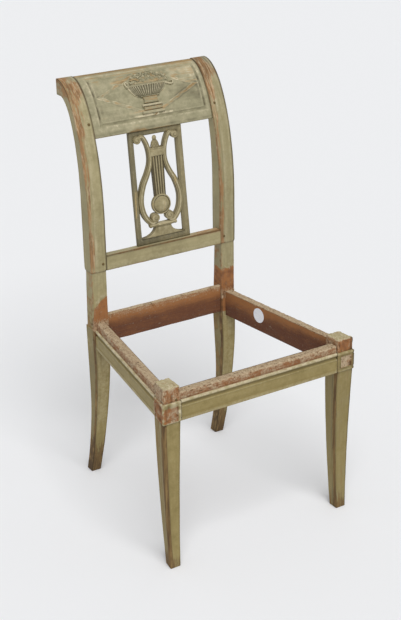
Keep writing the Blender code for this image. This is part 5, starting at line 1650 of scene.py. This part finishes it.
def pegPiece(node, direction, proud):
    # a rounded peg along a solid's own middle line, standing a little proud at its shown end
    low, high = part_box(node)
    middle = (low + high) / 2
    axis = Vector(direction).normalized()
    reach = max((v.co - middle).dot(axis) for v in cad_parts[node].data.vertices)
    turn = axis.to_track_quat("Z", "Y").to_matrix().to_4x4()
    bm = bmesh.new()
    bmesh.ops.create_cone(bm, cap_ends=True, segments=pegLook["segments"], radius1=pegLook["radius"],
                          radius2=pegLook["radius"] - pegLook["taper"], depth=2 * reach + proud,
                          matrix=Matrix.Translation(middle + axis * (proud / 2)) @ turn)
    rim = [e for e in bm.edges if all((v.co - middle).dot(axis) > reach for v in e.verts)]
    bmesh.ops.bevel(bm, geom=rim, offset=pegLook["round"], affect="EDGES", segments=3, profile=0.5, material=-1)
    setMarks(bm, lambda co: ((co.x, co.y + setBack, co.z), pegLook["marks"]))
    name = "".join(part.capitalize() for part in node.split("_"))
    finishPiece(name[0].lower() + name[1:], bm, pegFinish, "peg_wood", node)


for side, word in bothSides:
    pegPiece("front_rail_peg_" + word, (0, -1, 0), 0.0004)
    pegPiece("side_rail_front_peg_" + word, (side * math.cos(sideAngle), math.sin(sideAngle), 0), 0.0003)
    pegPiece("side_rail_rear_peg_" + word, (side, 0, 0), 0.0003)
    pegPiece("rear_rail_peg_" + word, (0, 1, 0), 0.0004)
    pegPiece("cross_rail_peg_" + word, (0, -1, 0), 0.0008)
    pegPiece("crest_peg_" + word, (0, -math.cos(pegLook["crestTilt"]), math.sin(pegLook["crestTilt"])), 0.0008)

labelLook = {
    "radius": 0.0168, "thick": 0.0004, "segments": 64, "border": 0.0012, "lift": 0.0001,
    "light": "#F4F5F8", "dark": "#E3E5EC", "stain": "#CBD0E0", "fibreScale": 900.0, "stainScale": 90.0,
}


def paperFinish(look):
    finish, tree, shader = newFinish("labelPaper")
    coords = addNode(tree, "ShaderNodeTexCoord").outputs["Object"]
    fibre = addNode(tree, "ShaderNodeTexNoise", Vector=coords, Scale=look["fibreScale"], Detail=4.0).outputs[0]
    stain = addNode(tree, "ShaderNodeTexNoise", Vector=coords, Scale=look["stainScale"], Detail=2.0).outputs[0]
    colour = mixColour(tree, remap(tree, fibre, 0.3, 0.7), rgb(look["dark"]), rgb(look["light"]))
    colour = mixColour(tree, remap(tree, stain, 0.5, 0.8, 0.0, 0.6), colour, rgb(look["stain"]))
    tree.links.new(colour, shader.inputs["Base Color"])
    shader.inputs["Roughness"].default_value = 0.85
    bump = addNode(tree, "ShaderNodeBump", Strength=0.2, Distance=0.0002, Height=fibre).outputs[0]
    tree.links.new(bump, shader.inputs["Normal"])
    return finish


def paperLabel(look):
    low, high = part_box("paper_label")
    middle = (low + high) / 2
    facing = Vector((-math.cos(sideAngle), -math.sin(sideAngle), 0))
    bm = bmesh.new()
    bmesh.ops.create_circle(bm, cap_ends=True, segments=look["segments"], radius=look["radius"])
    bmesh.ops.inset_region(bm, faces=bm.faces[:], thickness=look["border"], use_even_offset=True)
    raised = bmesh.ops.extrude_face_region(bm, geom=bm.faces[:])
    up = [v for v in raised["geom"] if isinstance(v, bmesh.types.BMVert)]
    bmesh.ops.translate(bm, verts=up, vec=(0, 0, look["thick"]))
    for v in up:
        if v.co.xy.length > look["radius"] - 0.0005:
            # the edge lifts a little
            v.co.z += look["lift"] + look["lift"] * ripple(v.co.x, v.co.y, 0.0, 0.008)
    turn = facing.to_track_quat("Z", "Y").to_matrix().to_4x4()
    bmesh.ops.transform(bm, verts=bm.verts, matrix=Matrix.Translation(middle - facing * look["thick"] / 2) @ turn)
    return bm


finishPiece("paperLabel", paperLabel(labelLook), paperFinish(labelLook), "label_paper", "paper_label")
print("pegs and label made")


# Floor, light and world

stageLook = {
    "floor": "#EEEFF1", "floorSize": 30.0, "backdrop": "#ECEDEF",
    "sunFrom": (-0.15, -0.54, 0.83), "sunAngle": 40.0, "sunStrength": 2.07, "worldStrength": 0.45,
}


def addFloor(look):
    bm = bmesh.new()
    bmesh.ops.create_grid(bm, x_segments=8, y_segments=8, size=look["floorSize"] / 2)
    finish, _, shader = newFinish("studioFloor")
    shader.inputs["Base Color"].default_value = rgb(look["floor"])
    shader.inputs["Roughness"].default_value = 0.9
    shader.inputs["Specular IOR Level"].default_value = 0.1
    floor = newObject("studioFloor", bm, finish)


def addSun(look):
    lamp = bpy.data.lights.new("softSun", "SUN")
    lamp.energy = look["sunStrength"]
    lamp.angle = math.radians(look["sunAngle"])
    holder = bpy.data.objects.new("softSun", lamp)
    holder.matrix_world = Vector(look["sunFrom"]).to_track_quat("Z", "Y").to_matrix().to_4x4()
    bpy.context.scene.collection.objects.link(holder)


def setWorld(look):
    # soft white light, while the camera and reflections see the pale backdrop
    world = bpy.data.worlds.new("studioWorld")
    world.use_nodes = True
    tree = world.node_tree
    light = tree.nodes["Background"]
    light.inputs["Color"].default_value = (1.0, 1.0, 1.0, 1.0)
    light.inputs["Strength"].default_value = look["worldStrength"]
    seen = addNode(tree, "ShaderNodeBackground", Color=rgb(look["backdrop"]), Strength=1.0)
    rays = addNode(tree, "ShaderNodeLightPath").outputs
    direct = combine(tree, rays["Is Camera Ray"], rays["Is Glossy Ray"], "MAXIMUM")
    direct = combine(tree, direct, rays["Is Transmission Ray"], "MAXIMUM")
    blend = addNode(tree, "ShaderNodeMixShader", s0=direct, s1=light.outputs[0], s2=seen.outputs[0])
    tree.links.new(blend.outputs[0], tree.nodes["World Output"].inputs["Surface"])
    bpy.context.scene.world = world


addFloor(stageLook)
addSun(stageLook)
setWorld(stageLook)
bpy.context.scene.view_settings.view_transform = "Standard"
print("floor and lights set")

bpy.context.view_layer.update()
